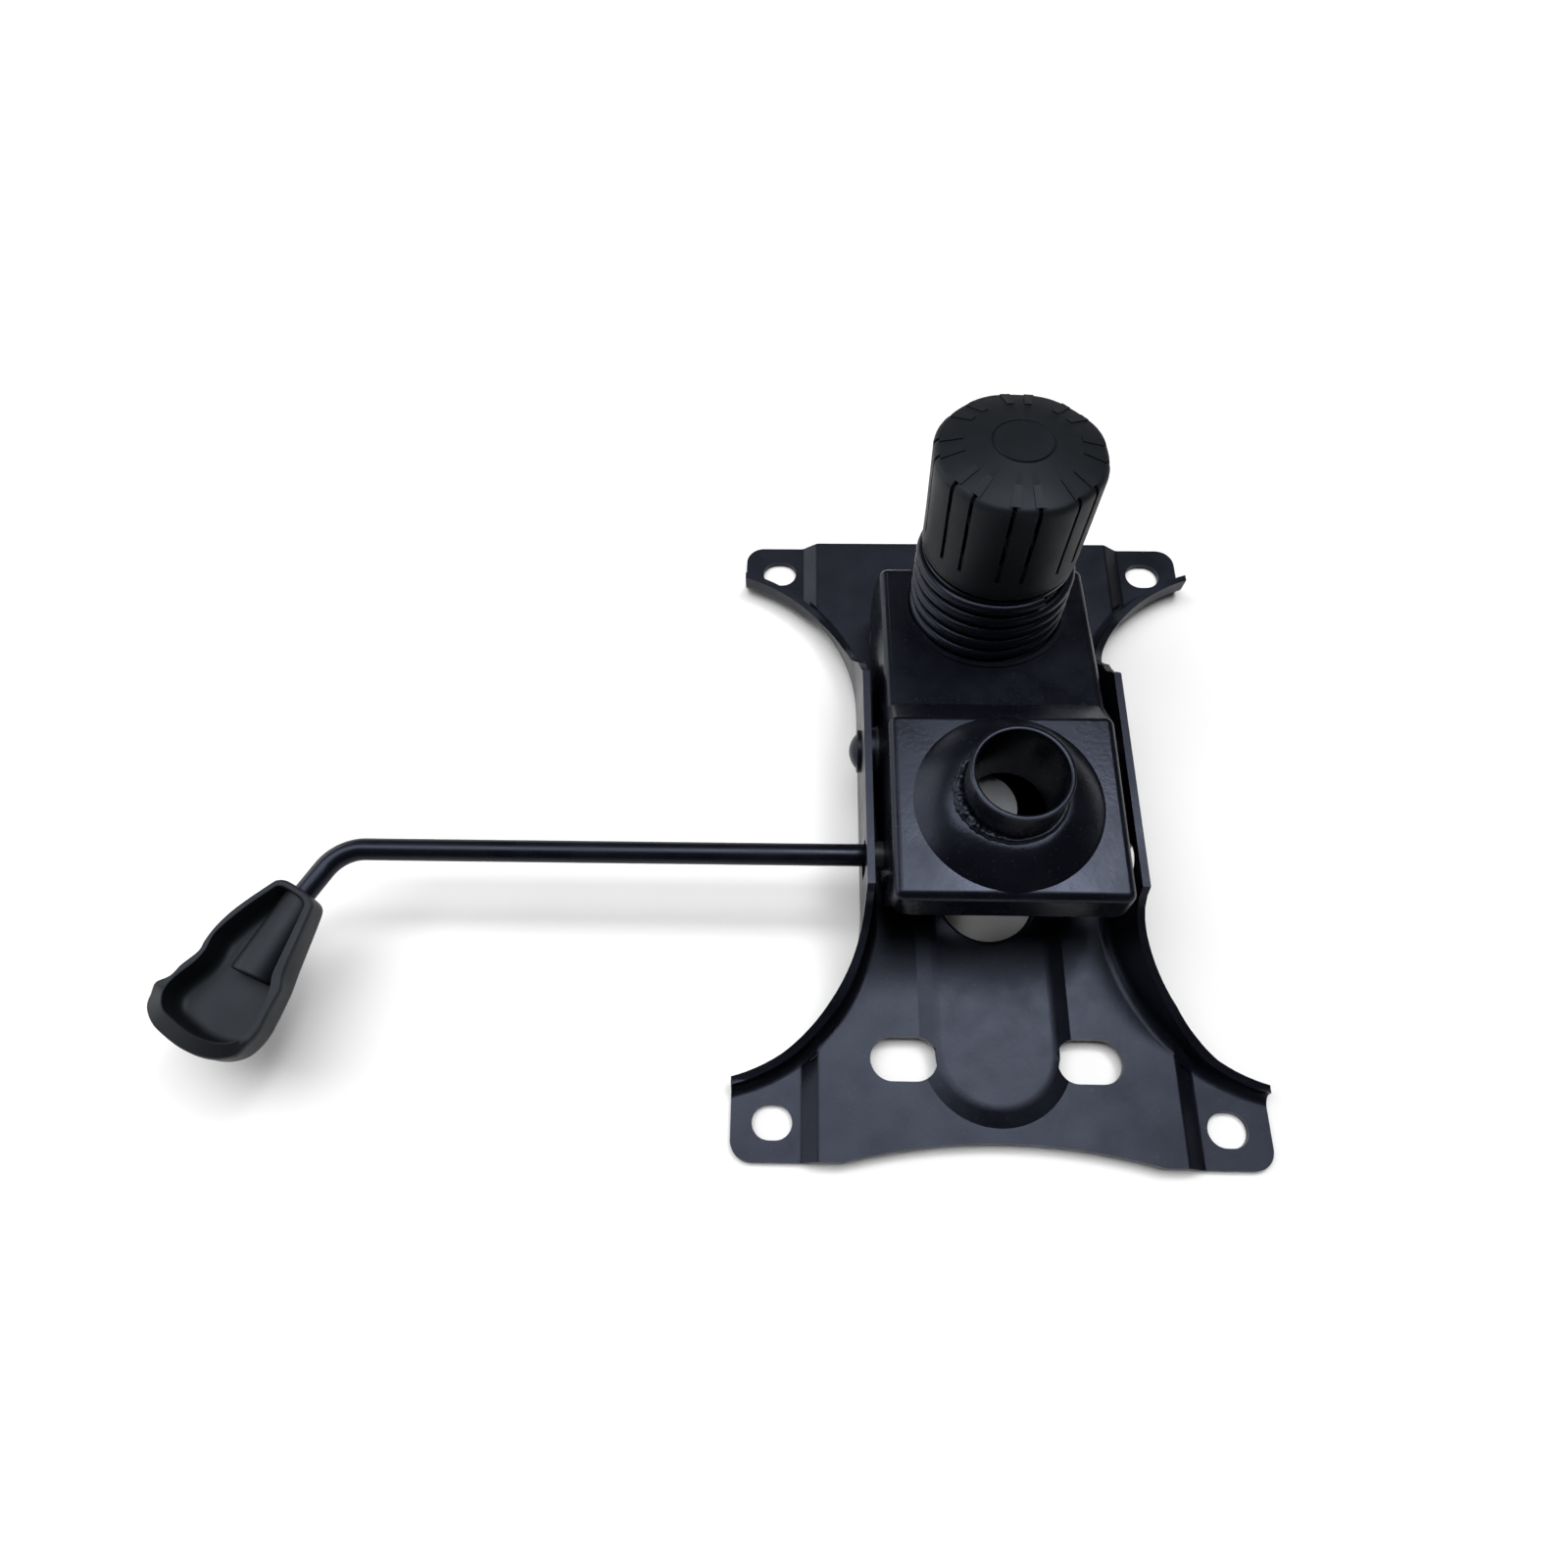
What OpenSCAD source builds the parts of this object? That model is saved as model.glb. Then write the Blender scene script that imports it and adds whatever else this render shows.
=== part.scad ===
// Tilt mechanism of an office chair, lying on its seat face.
// z = 0 is the face that bolts to the seat, +Y is the front of the chair (tension knob),
// the lift lever leaves towards -X, and the gas spring socket opens towards +Z.

/* [Seat plate] */
// Thickness of the seat plate sheet
plate_t = 2.5; // [2:0.1:3]
// Overall width of the seat plate
plate_w = 177.6; // [172:0.2:190]
// Overall length of the seat plate
plate_l = 245.4; // [242:0.2:256]
// Distance from a side of the plate in to the middle of a seat bolt slot
slot_in_x = 13.8; // [13:0.1:16]
// Distance from an end of the plate in to the middle of a seat bolt slot
slot_in_y = 12.7; // [12:0.1:14]
// Width of a seat bolt slot
slot_w = 11.5; // [8:0.5:12]
// Overall length of a seat bolt slot
slot_len = 13.5; // [13:0.5:16]
// Width of the low pad at each ear
ear_w = 26.3; // [24:0.1:30]
// Height of the middle field above the ear pads
field_rise = 4; // [3:0.5:6]
// Outer width over the two side flanges
waist_w = 90; // [88:0.5:96]
// Distance from an end of the plate in to where the waist's arcs begin
waist_in = 82.7; // [80:0.1:86]
// Height of the side flanges above the seat face
flange_h = 47; // [44:0.5:54]
// Plan radius of the waist towards the front ears
front_arc_r = 65; // [60:1:72]
// Plan radius of the waist towards the rear ears
rear_arc_r = 58; // [54:1:64]
// Corner radius of the ears
ear_r = 7; // [4:0.5:10]
// How far the rear edge is arched in
rear_arch = 6.7; // [2:0.1:10]
// Width of the raised tongue at its foot
tongue_w = 51; // [46:0.5:54]
// How far the tongue's sides slope in from foot to top
tongue_slope = 6; // [5:0.5:8]
// Height of the raised tongue
tongue_h = 1.8; // [1:0.1:2.5]
// Radius of the round access hole
access_r = 16.5; // [12:0.5:17]
// Distance between the two large slots near the rear edge
rear_slot_dx = 62; // [58:1:66]
// Overall length of a large slot
rear_slot_len = 22.5; // [18:0.5:24]
// Width of a large slot
rear_slot_w = 14.8; // [12:0.2:16]

/* [Tilt housing] */
// Thickness of the drawn housing sheet
shell_t = 2.5; // [2:0.1:3]
// Overall width of the housing
house_w = 78; // [72:0.5:79]
// Height of the flat tray above the seat face
tray_top = 57; // [55:0.5:60]
// Rear end of the housing, measured behind the bolt pattern's centre
house_rear = 51.2; // [50:0.2:56]
// Front end of the housing, measured ahead of the bolt pattern's centre
house_front = 88; // [86:0.5:92]
// Front end of the flat tray, ahead of the bolt pattern's centre
tray_front = 15.5; // [12:0.5:18]
// Height of the rear rim above the seat face
rear_rim_z = 45; // [43:0.5:47]
// Height of the front rim above the seat face
front_rim_z = 16; // [14:0.5:18]
// Radius of the raised cone at its foot
cone_r = 30.5; // [29:0.5:31]
// Radius of the raised cone at its top
cone_top_r = 20.5; // [20:0.5:22]
// Height of the raised cone above the tray
cone_h = 7; // [5:0.5:9]

/* [Gas spring socket] */
// Distance from the bolt pattern's centre back to the socket axis
socket_back = 16.8; // [15:0.1:18]
// Outer radius of the socket tube
socket_r = 16.1; // [15.9:0.1:17]
// Radius of the straight land at the mouth
mouth_r = 14.3; // [14:0.1:14.4]
// Length of the straight land at the mouth
mouth_land = 8; // [6:0.5:12]
// Radius of the tapered bore at its inner end
throat_r = 13.5; // [13.2:0.1:13.8]
// Length of the socket tube
socket_len = 29.5; // [29:0.5:34]

/* [Pivot] */
// Distance of the pivot ahead of the bolt pattern's centre
pivot_y = 15; // [12:0.5:18]
// Height of the pivot above the seat face
pivot_z = 28; // [26:0.5:30]
// Diameter of the pivot pin
pin_d = 10; // [8:0.5:11]

/* [Tension knob and spring] */
// Lean of the tension bolt towards the front, in degrees
lean = 7; // [4:0.5:9]
// Where the tension axis crosses the tray rim level, ahead of the centre
tension_y = 66.4; // [64:0.2:69]
// Diameter of the tension bolt
bolt_d = 10; // [8:0.5:11]
// Thread lead of the tension bolt
bolt_lead = 1.5; // [1:0.25:2]
// Outer radius of the knob at its skirt
knob_r = 26.2; // [25:0.1:27]
// Outer radius of the knob at its rim
knob_rim_r = 27.4; // [26:0.1:27.8]
// Length of the knob from skirt to rim
knob_len = 39.5; // [38:0.5:48]
// Number of grip pads round the knob
grip_count = 8; // [6:1:10]
// Wire diameter of the tension spring
wire_d = 4.3; // [3.5:0.1:4.4]
// Outer radius of the tension spring
spring_r = 27.5; // [26:0.1:27.5]
// Height of the tension spring along its axis
spring_len = 39; // [39:0.5:46]
// Number of turns of the tension spring
spring_turns = 6; // [5:0.5:6]

/* [Lever] */
// Diameter of the lever rod
rod_d = 7.5; // [7:0.1:8]
// Distance of the lever rod behind the bolt pattern's centre
rod_back = 28; // [27.5:0.1:28.5]
// Height of the lever rod above the seat face
rod_z = 36.5; // [36:0.1:37]
// Distance from the centre out to the start of the rod's bend
rod_reach = 213; // [150:1:230]
// Radius of the rod's bend, on its centre line
bend_r = 15; // [10:0.5:24]
// Angle of the rod's bend
bend_a = 60; // [30:1:75]
// Radius of the flattened disc that presses the valve
blade_r = 12; // [8:0.5:12]
// Thickness of the flattened disc
blade_t = 3; // [2:0.1:3.2]
// Length of the handle
grip_len = 58; // [50:1:80]
// Greatest width of the handle
grip_w = 38; // [30:0.5:44]
// Depth of the handle
grip_h = 13; // [12:0.5:18]
// Wall of the handle
grip_wall = 2.4; // [2:0.1:3]

/* [Hidden] */
$fn = 96;

// Small distances that several pieces share
run_gap = 0.05;    // radial clearance of a running fit
face_gap = 0.1;    // gap between faces that slide past each other
hull_fn = 32;      // facets of the rounded corners of hulled shells
eps = 0.01;

// Seat plate
bend_in = 4;                            // inner radius of the flange bends
bend_out = bend_in + plate_t;
flange_lap = 0.3;                       // how far the flanges' sheet runs on into the plate's
field_z = field_rise;
field_top = field_rise + plate_t;
step_x = plate_w/2 - ear_w;             // where the ear pads step up to the field
step_run = 4.6;                         // length of that step
flange_x = waist_w/2;
waist_y = plate_l/2 - waist_in;
waist_l = 2*waist_y;
slot_dx = plate_w - 2*slot_in_x;
slot_dy = plate_l - 2*slot_in_y;
edge_half = 40;                         // half length of the flanges' full height
tongue_in = 36.9;                       // from the plate's rear end to the tongue's rear centre
tongue_rear_y = -plate_l/2 + tongue_in;
tongue_front_y = -10;
tongue_root = 0.6;                      // how deep the tongue's sides run on into the field
access_y = -32;
rear_slot_in = 33.4;                    // from the plate's rear end to the large slots
rear_slot_y = -plate_l/2 + rear_slot_in;
arch_in = 10.5;                         // from the step up to the end of the arched edge
arch_half = step_x - arch_in;           // half length of the arched rear edge
arch_r = (arch_half*arch_half + rear_arch*rear_arch)/(2*rear_arch);
profile_h = 47;                         // flange height that the edge profiles are drawn at
// Height of the flange edge against the distance past the straight flange, front and rear
front_edge = [[-3, 47], [-1, 44.5], [1.5, 40.5], [4.5, 37.5], [8, 34.5], [12, 28.5], [17, 21.5],
    [25, 16.5], [32, 14.3], [40, 12], [95, 11.5]];
rear_edge = [[1.5, 47], [3, 42.5], [5.5, 38.5], [9, 35.5], [13, 33.2], [22, 29.3], [34, 24],
    [42.5, 17], [49, 11], [57, 8], [95, 8]];

// Tilt housing
shoulder_in = 1.4;                      // how far the draft draws the tray top in, each side
top_round = 3.3;
corner_r = 7;
shoulder_z = rear_rim_z;
house_x = house_w/2;
brace_t = 2;
brace_drop = 7;
brace_z = tray_top - brace_drop;        // underside of the inner brace and end of the socket
cone_top_z = tray_top + cone_h;
socket_y = -socket_back;
socket_top = brace_z + socket_len;
inner_x = house_x - shell_t;

// Tension axis: tz() measures along it from the level of tension_z
tension_z = 36;
deck_h = 8.4;                           // housing deck, along the tension axis
cup_depth = 11;                         // how far the spring's cup reaches below the deck
cup_t = 0.8;
cup_in = spring_r + 0.25;
cup_out = cup_in + cup_t;
cup_lip = 1;
nose_r = cup_out + shell_t + 0.4;       // rounded front of the housing, round the cup
spring_h0 = deck_h - cup_depth + cup_t;
cap_h = spring_h0 + spring_len;
cap_t = 1;
washer_t = 0.7;
knob_h0 = cap_h + cap_t + washer_t + 2*face_gap;
knob_rim_h = knob_h0 + knob_len;
knob_dome = 4.5;
knob_top_h = knob_rim_h + knob_dome;
bolt_r = bolt_d/2;
head_h = 6.4;
head_top = -23.1;                       // top of the bolt head, along the tension axis
nut_h = 8;
nut_af = 1.7*bolt_d;
head_af = 1.6*bolt_d;
knob_turns = 2;                         // turns that the knob can be backed off
bolt_past = 30;                         // bolt inside the knob when it is backed off
bolt_end = knob_h0 + bolt_past + knob_turns*bolt_lead;
anchor_t = 2.5;
anchor_r = 17;

// Lever
rod_r = rod_d/2;
rod_y = -rod_back;
bush_r = rod_r + 1.15;
bush_len = 14.5;
tilt_max = 9;                           // recline of the mechanism, in degrees
blade_x = -6;
blade_y = socket_y + 4.8;
blade_z = rod_z + 3;
grip_start = 10;                        // straight rod between the bend and the handle

// Where the lever rod's centre goes when the housing reclines by a
function rod_after_y(a) = pivot_y + (rod_y - pivot_y)*cos(a) - (rod_z - pivot_z)*sin(a);
function rod_after_z(a) = pivot_z + (rod_y - pivot_y)*sin(a) + (rod_z - pivot_z)*cos(a);
// How far the bolt wanders in the housing's plane at height h when the housing reclines by a
function bolt_shift(h, a) =
    let (dy = tension_y - pivot_y, dz = tension_z - pivot_z)
    (dy*cos(lean) - dz*sin(lean))*(1/cos(a) - 1) + (dy*sin(lean) + dz*cos(lean) + h)*tan(a);
// Height of the housing's sloping deck at y
deck_y0 = tension_y + deck_h*sin(lean);
deck_z0 = tension_z + deck_h*cos(lean);
function deck_z(y) = deck_z0 - (y - deck_y0)*tan(lean);

// Places children on the tension axis, lengths along +Z
module tension_axis() {
    translate([0, tension_y, tension_z]) rotate([-lean, 0, 0]) children();
}

// A round bar along X between x0 and x1, at y and z
module bar_x(r, x0, x1, y, z) {
    translate([x0, y, z]) rotate([0, 90, 0]) cylinder(r = r, h = x1 - x0);
}

// A ring along X
module ring_x(r_out, r_in, x0, x1, y, z) {
    difference() {
        bar_x(r_out, x0, x1, y, z);
        bar_x(r_in, x0 - 1, x1 + 1, y, z);
    }
}

// A ring along Z
module ring_z(r_out, r_in, z0, z1) {
    translate([0, 0, z0]) difference() {
        cylinder(r = r_out, h = z1 - z0);
        translate([0, 0, -1]) cylinder(r = r_in, h = z1 - z0 + 2);
    }
}

// A flat shape in Y and Z, drawn out along X between x0 and x1
module along_x(x0, x1) {
    translate([x0, 0, 0]) rotate([90, 0, 90]) linear_extrude(x1 - x0) children();
}

// A slot outline of overall length len and width w, long side along X
module slot_2d(len, w) {
    square([len - w, w], center = true);
    for (s = [-1, 1]) translate([s*(len - w)/2, 0]) circle(r = w/2);
}

// Plan of the plate, drawn in by inset along the waist only
module plate_plan(inset) {
    difference() {
        union() {
            square([plate_w - 2*ear_r, plate_l], center = true);
            square([plate_w, plate_l - 2*ear_r], center = true);
            for (sx = [-1, 1]) for (sy = [-1, 1])
                translate([sx*(plate_w/2 - ear_r), sy*(plate_l/2 - ear_r)]) circle(r = ear_r);
        }
        translate([0, -plate_l/2 + rear_arch - arch_r]) circle(r = arch_r, $fn = 360);
        for (s = [-1, 1]) {
            translate([s*(flange_x + front_arc_r), waist_y]) circle(r = front_arc_r + inset, $fn = 180);
            translate([s*(flange_x + rear_arc_r), -waist_y]) circle(r = rear_arc_r + inset, $fn = 180);
            translate([s*(flange_x + plate_w/2 - inset), 0]) square([plate_w, waist_l], center = true);
        }
    }
}

// Cross-section of the sheet: low ear pads and the raised field
module plate_section(low, high) {
    polygon([[-plate_w, low], [-step_x - step_run/2, low], [-step_x + step_run/2, high],
        [step_x - step_run/2, high], [step_x + step_run/2, low], [plate_w, low],
        [plate_w, low + plate_t], [step_x + step_run/2, low + plate_t],
        [step_x - step_run/2, high + plate_t], [-step_x + step_run/2, high + plate_t],
        [-step_x - step_run/2, low + plate_t], [-plate_w, low + plate_t]]);
}

// Section of a flange: quarter bend and wall, outer face at x = 0, sheet leaving towards +X
module flange_section(base) {
    intersection() {
        difference() {
            translate([bend_out, base + bend_out]) circle(r = bend_out);
            translate([bend_out, base + bend_out]) circle(r = bend_in);
        }
        translate([0, base]) square([bend_out, bend_out]);
    }
    translate([bend_out, base]) square([flange_lap, plate_t]);
    translate([0, base + bend_out]) square([plate_t, flange_h - base - bend_out + 4]);
}

// One side's flange at a base height: front arc, straight run and rear arc, on the +X side
module flange_run(base) {
    translate([flange_x + front_arc_r, waist_y, 0]) rotate([0, 0, 90])
        rotate_extrude(angle = 90, $fn = 180) translate([front_arc_r, 0]) flange_section(base);
    translate([flange_x + rear_arc_r, -waist_y, 0]) rotate([0, 0, 180])
        rotate_extrude(angle = 90, $fn = 180) translate([rear_arc_r, 0]) flange_section(base);
    translate([flange_x, waist_y, 0]) rotate([90, 0, 0])
        linear_extrude(waist_l) mirror([1, 0]) flange_section(base);
}

// The flange's upper edge, seen from the side
module edge_profile() {
    scale_z = flange_h/profile_h;
    front = [for (p = front_edge) [edge_half + p[0], p[1]*scale_z]];
    rear = [for (p = rear_edge) [-edge_half - p[0], p[1]*scale_z]];
    count = len(rear);
    polygon(concat([[front[len(front) - 1][0], -1], [rear[count - 1][0], -1]],
        [for (i = [count - 1:-1:0]) rear[i]], front));
}

module side_flange() {
    intersection() {
        union() {
            intersection() {
                flange_run(field_z);
                translate([0, -plate_l/2, 0]) cube([step_x, plate_l, 2*flange_h]);
            }
            intersection() {
                flange_run(0);
                translate([step_x - step_run/2, -plate_l/2, 0])
                    cube([plate_w/2 - step_x + step_run/2, plate_l, 2*flange_h]);
            }
        }
        along_x(0, plate_w/2) edge_profile();
    }
}

// Half width of the pressed-up tongue at a height above its foot
function tongue_r(h) = tongue_w/2 - tongue_slope*h/tongue_h;

// The tongue between two heights above its foot, which lies at z
module tongue(z, low, high) {
    for (y = [tongue_rear_y, tongue_front_y]) translate([0, y, z + low])
        cylinder(r1 = tongue_r(low), r2 = tongue_r(high), h = high - low, $fn = 180);
    translate([0, tongue_front_y, z]) rotate([90, 0, 0])
        linear_extrude(tongue_front_y - tongue_rear_y)
        polygon([[-tongue_r(low), low], [tongue_r(low), low], [tongue_r(high), high], [-tongue_r(high), high]]);
}

// Slot in the flange that the lever rod and its bush pass through while the housing tilts
lever_slot_r = bush_r + 0.6;
lever_slot_y = (rod_y + rod_after_y(tilt_max))/2;
module lever_slot() {
    z_top = rod_z + 0.4;
    z_low = rod_after_z(tilt_max) - 0.3;
    for (z = [z_top, z_low])
        bar_x(lever_slot_r, -plate_w/2, plate_w/2, lever_slot_y, z);
    translate([0, lever_slot_y, (z_top + z_low)/2])
        cube([plate_w, 2*lever_slot_r, z_top - z_low], center = true);
}

anchor_y = tension_y + (field_top - tension_z)*tan(lean);
rivet_dx = 42;
rivet_dy = 30;
rivet_r = 2.5;
module seat_plate() {
    color([0.05, 0.05, 0.06]) difference() {
        union() {
            intersection() {
                linear_extrude(2*field_top) plate_plan(bend_out);
                translate([0, plate_l/2, 0]) rotate([90, 0, 0])
                    linear_extrude(plate_l) plate_section(0, field_z);
            }
            for (s = [0, 1]) mirror([s, 0, 0]) side_flange();
            tongue(field_top, -tongue_root, tongue_h);
        }
        for (sx = [-1, 1]) for (sy = [-1, 1])
            translate([sx*slot_dx/2, sy*slot_dy/2, -1]) linear_extrude(3*field_top) slot_2d(slot_len, slot_w);
        for (s = [-1, 1])
            translate([s*rear_slot_dx/2, rear_slot_y, -1]) linear_extrude(4*field_top)
                slot_2d(rear_slot_len, rear_slot_w);
        translate([0, access_y, -1]) cylinder(r = access_r, h = 4*field_top);
        tongue(field_z, -tongue_root, tongue_h);
        translate([0, anchor_y, -1]) cylinder(r = head_af*0.69, h = 4*field_top);
        for (sx = [-1, 1]) for (sy = [-1, 1])
            translate([sx*rivet_dx/2, anchor_y + sy*rivet_dy/2, -1])
                cylinder(r = rivet_r + run_gap, h = 4*field_top);
        bar_x(pin_d/2 + run_gap, -plate_w/2, plate_w/2, pivot_y, pivot_z);
        lever_slot();
    }
}

// Pivot: a pin with a domed head and a peened end, through both flanges
pin_r = pin_d/2;
pin_head_r = 6.2;
pin_washer_r = 7.6;
pin_washer_t = 1.4;
pin_x = flange_x + pin_washer_t + face_gap;
pin_dome_h = 2.6;
module pivot_pin() {
    dome_r = (pin_head_r*pin_head_r + pin_dome_h*pin_dome_h)/(2*pin_dome_h);
    dome_a = asin(pin_head_r/dome_r);
    edge = [for (i = [10:-1:0]) [dome_r*sin(dome_a*i/10),
        pin_x + pin_dome_h - dome_r + dome_r*cos(dome_a*i/10)]];
    color([0.12, 0.12, 0.13]) translate([0, pivot_y, pivot_z]) rotate([0, 90, 0]) rotate_extrude()
        polygon(concat([for (p = edge) p], [for (i = [10:-1:0]) [edge[i][0], -edge[i][1]]],
            [[pin_r, -pin_x], [pin_r, pin_x]]));
}

module pivot_washers() {
    color([0.08, 0.08, 0.09]) for (s = [0, 1]) mirror([s, 0, 0])
        ring_x(pin_washer_r, pin_r + run_gap, flange_x, flange_x + pin_washer_t, pivot_y, pivot_z);
}

// Steel spacers between the flanges and the housing's bushes
bush_flange_t = 1.2;
spacer_x0 = house_x + bush_flange_t + face_gap;
module pivot_spacers() {
    color([0.6, 0.6, 0.62]) for (s = [0, 1]) mirror([s, 0, 0])
        ring_x(pin_r + 4, pin_r + run_gap, spacer_x0, flange_x - plate_t, pivot_y, pivot_z);
}

// Cup that holds the head of the tension bolt, on a foot riveted to the field
foot_w = rivet_dx + 10;
foot_l = rivet_dy + 12;
foot_t = 2;
module bolt_anchor() {
    color([0.1, 0.1, 0.11]) difference() {
        union() {
            translate([-foot_w/2, anchor_y - foot_l/2, field_top]) cube([foot_w, foot_l, foot_t]);
            intersection() {
                tension_axis() translate([0, 0, head_top - 14]) cylinder(r = anchor_r, h = 14 + anchor_t);
                translate([-2*anchor_r, anchor_y - 2*anchor_r, field_top]) cube(4*anchor_r);
            }
        }
        tension_axis() translate([0, 0, head_top - 20]) cylinder(r = anchor_r - anchor_t, h = 20);
        tension_axis() translate([0, 0, head_top - 1]) cylinder(r = bolt_r + 0.3, h = 20);
        for (sx = [-1, 1]) for (sy = [-1, 1])
            translate([sx*rivet_dx/2, anchor_y + sy*rivet_dy/2, 0])
                cylinder(r = rivet_r + run_gap, h = 4*field_top);
    }
}

module anchor_rivets() {
    head_r = 4.4;
    head_t = 1.6;
    color([0.12, 0.12, 0.13]) for (sx = [-1, 1]) for (sy = [-1, 1])
        translate([sx*rivet_dx/2, anchor_y + sy*rivet_dy/2, 0]) {
            translate([0, 0, field_z - head_t]) cylinder(r = rivet_r, h = plate_t + foot_t + 2*head_t);
            translate([0, 0, field_z - head_t]) cylinder(r = head_r, h = head_t);
            translate([0, 0, field_top + foot_t]) cylinder(r = head_r, h = head_t);
        }
}

module tension_bolt() {
    color([0.45, 0.45, 0.47]) tension_axis() {
        translate([0, 0, head_top - head_h]) cylinder(d = head_af/cos(30), h = head_h, $fn = 6);
        rotate_extrude() polygon([[0, head_top - 1], [bolt_r, head_top - 1], [bolt_r, bolt_end - 1],
            [bolt_r - 1, bolt_end], [0, bolt_end]]);
    }
}

// Buffers that the housing's front rim rests on
stop_y = house_front - 14;
stop_r = 5.5;
module rubber_stops() {
    color([0.03, 0.03, 0.03]) for (s = [-1, 1])
        translate([s*(house_x - stop_r), stop_y, field_top]) {
            cylinder(r = stop_r, h = front_rim_z - field_top - 2);
            cylinder(r = stop_r - 1.2, h = front_rim_z - field_top - face_gap);
        }
}

// Outer form of the tray, drawn in by g
module tray_form(g) {
    top_x = house_x - shoulder_in - top_round;
    hull() {
        for (sx = [-1, 1]) {
            for (y = [-house_rear + shoulder_in + top_round, tray_front - top_round])
                translate([sx*top_x, y, tray_top - top_round]) sphere(r = top_round - g, $fn = hull_fn);
            translate([sx*(house_x - corner_r), -house_rear + corner_r, 0])
                cylinder(r = corner_r - g, h = shoulder_z, $fn = hull_fn);
            translate([sx*(house_x - corner_r), tray_front + 14, 0])
                cylinder(r = corner_r - g, h = shoulder_z - 6, $fn = hull_fn);
        }
    }
}

// Outer form of the sloping front deck, drawn in by g
module deck_form(g) {
    top_x = house_x - shoulder_in - top_round;
    y_back = tray_front + 6;
    y_front = house_front - 3 - top_round;
    drop = 10.5;                        // the draft's height below the deck
    hull() {
        for (sx = [-1, 1]) {
            for (y = [y_back, y_front])
                translate([sx*top_x, y, deck_z(y) - top_round/cos(lean)])
                    sphere(r = top_round - g, $fn = hull_fn);
            translate([sx*(house_x - corner_r), house_front - corner_r, 0])
                cylinder(r = corner_r - g, h = deck_z(house_front) - drop, $fn = hull_fn);
            translate([sx*(house_x - corner_r), y_back, 0])
                cylinder(r = corner_r - g, h = deck_z(y_back) - drop, $fn = hull_fn);
        }
    }
}

// What is cut away under the housing's rim, seen from the side
module rim_cut() {
    polygon([[-house_rear - 5, -tension_z], [-house_rear - 5, rear_rim_z], [-house_rear + 3, rear_rim_z],
        [-house_rear + 7, rear_rim_z - 13], [-10, front_rim_z + 3], [pivot_y - 5, front_rim_z],
        [house_front + 2*nose_r, front_rim_z], [house_front + 2*nose_r, -tension_z]]);
}

// Rounded front of the housing, drawn in by g
module nose_form(g) {
    tension_axis() rotate_extrude()
        polygon([[0, -tension_z], [nose_r - g, -tension_z], [nose_r - g, deck_h - g - 2.2],
            [nose_r - g - 0.6, deck_h - g - 0.6], [nose_r - g - 2.2, deck_h - g], [0, deck_h - g]]);
}

bush_out_r = pin_r + 1.1;
module tilt_housing() {
    color([0.05, 0.05, 0.06]) difference() {
        union() {
            tray_form(0);
            deck_form(0);
            nose_form(0);
            translate([0, socket_y, 0]) rotate_extrude()
                polygon([[0, tray_top - 1], [cone_r + 1.2, tray_top - 1], [cone_top_r, cone_top_z],
                    [socket_r, cone_top_z + 0.4], [0, cone_top_z + 0.4]]);
        }
        tray_form(shell_t);
        deck_form(shell_t);
        nose_form(shell_t);
        translate([0, socket_y, 0]) rotate_extrude()
            polygon([[0, tray_top - 9], [cone_r, tray_top - 9], [cone_r - 1, tray_top - shell_t - 0.4],
                [cone_top_r - 1, cone_top_z - shell_t], [0, cone_top_z - shell_t]]);
        translate([0, socket_y, 0]) cylinder(r = socket_r, h = socket_top);
        along_x(-house_w, house_w) rim_cut();
        bar_x(bush_out_r, -house_w, house_w, pivot_y, pivot_z);
        bar_x(bush_r + run_gap, -house_w, 0, rod_y, rod_z);
        tension_axis() cylinder(r = cup_out, h = 2*deck_h);
    }
}

module lift_socket() {
    color([0.05, 0.05, 0.06]) translate([0, socket_y, 0]) rotate_extrude()
        polygon([[throat_r, brace_z], [socket_r - 0.4, brace_z], [socket_r, brace_z + 0.4],
            [socket_r, socket_top - 0.6], [socket_r - 0.6, socket_top],
            [mouth_r + 0.4, socket_top], [mouth_r, socket_top - 0.4],
            [mouth_r, socket_top - mouth_land], [throat_r, brace_z + 3]]);
}

// Fillet weld between the cone and the tube
weld_leg = 2.2;
module socket_weld() {
    color([0.07, 0.07, 0.08]) translate([0, socket_y, 0]) rotate_extrude()
        polygon([[socket_r, cone_top_z + 0.4], [socket_r + weld_leg, cone_top_z + 0.3],
            [socket_r + 0.75*weld_leg, cone_top_z + 0.4 + 0.5*weld_leg],
            [socket_r + 0.4*weld_leg, cone_top_z + 0.4 + 0.8*weld_leg],
            [socket_r, cone_top_z + 0.4 + weld_leg]]);
}

// Flat brace welded under the tray, round the end of the tube, with a lip at the rear
brace_side = 3.7;                       // from the housing's outer side to the brace
brace_end = 5.4;                         // from the tray's ends to the brace
brace_lip = 9;
brace_x = house_x - brace_side;
brace_rear = -house_rear + brace_end;
brace_front = tray_front - brace_end;
module inner_brace() {
    color([0.07, 0.07, 0.08]) difference() {
        union() {
            translate([-brace_x, brace_rear, brace_z])
                cube([2*brace_x, brace_front - brace_rear, brace_t]);
            translate([-brace_x, brace_rear, brace_z - brace_lip])
                cube([2*brace_x, brace_t, brace_lip + eps]);
        }
        translate([0, socket_y, 0]) cylinder(r = socket_r, h = tray_top);
    }
}

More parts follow.
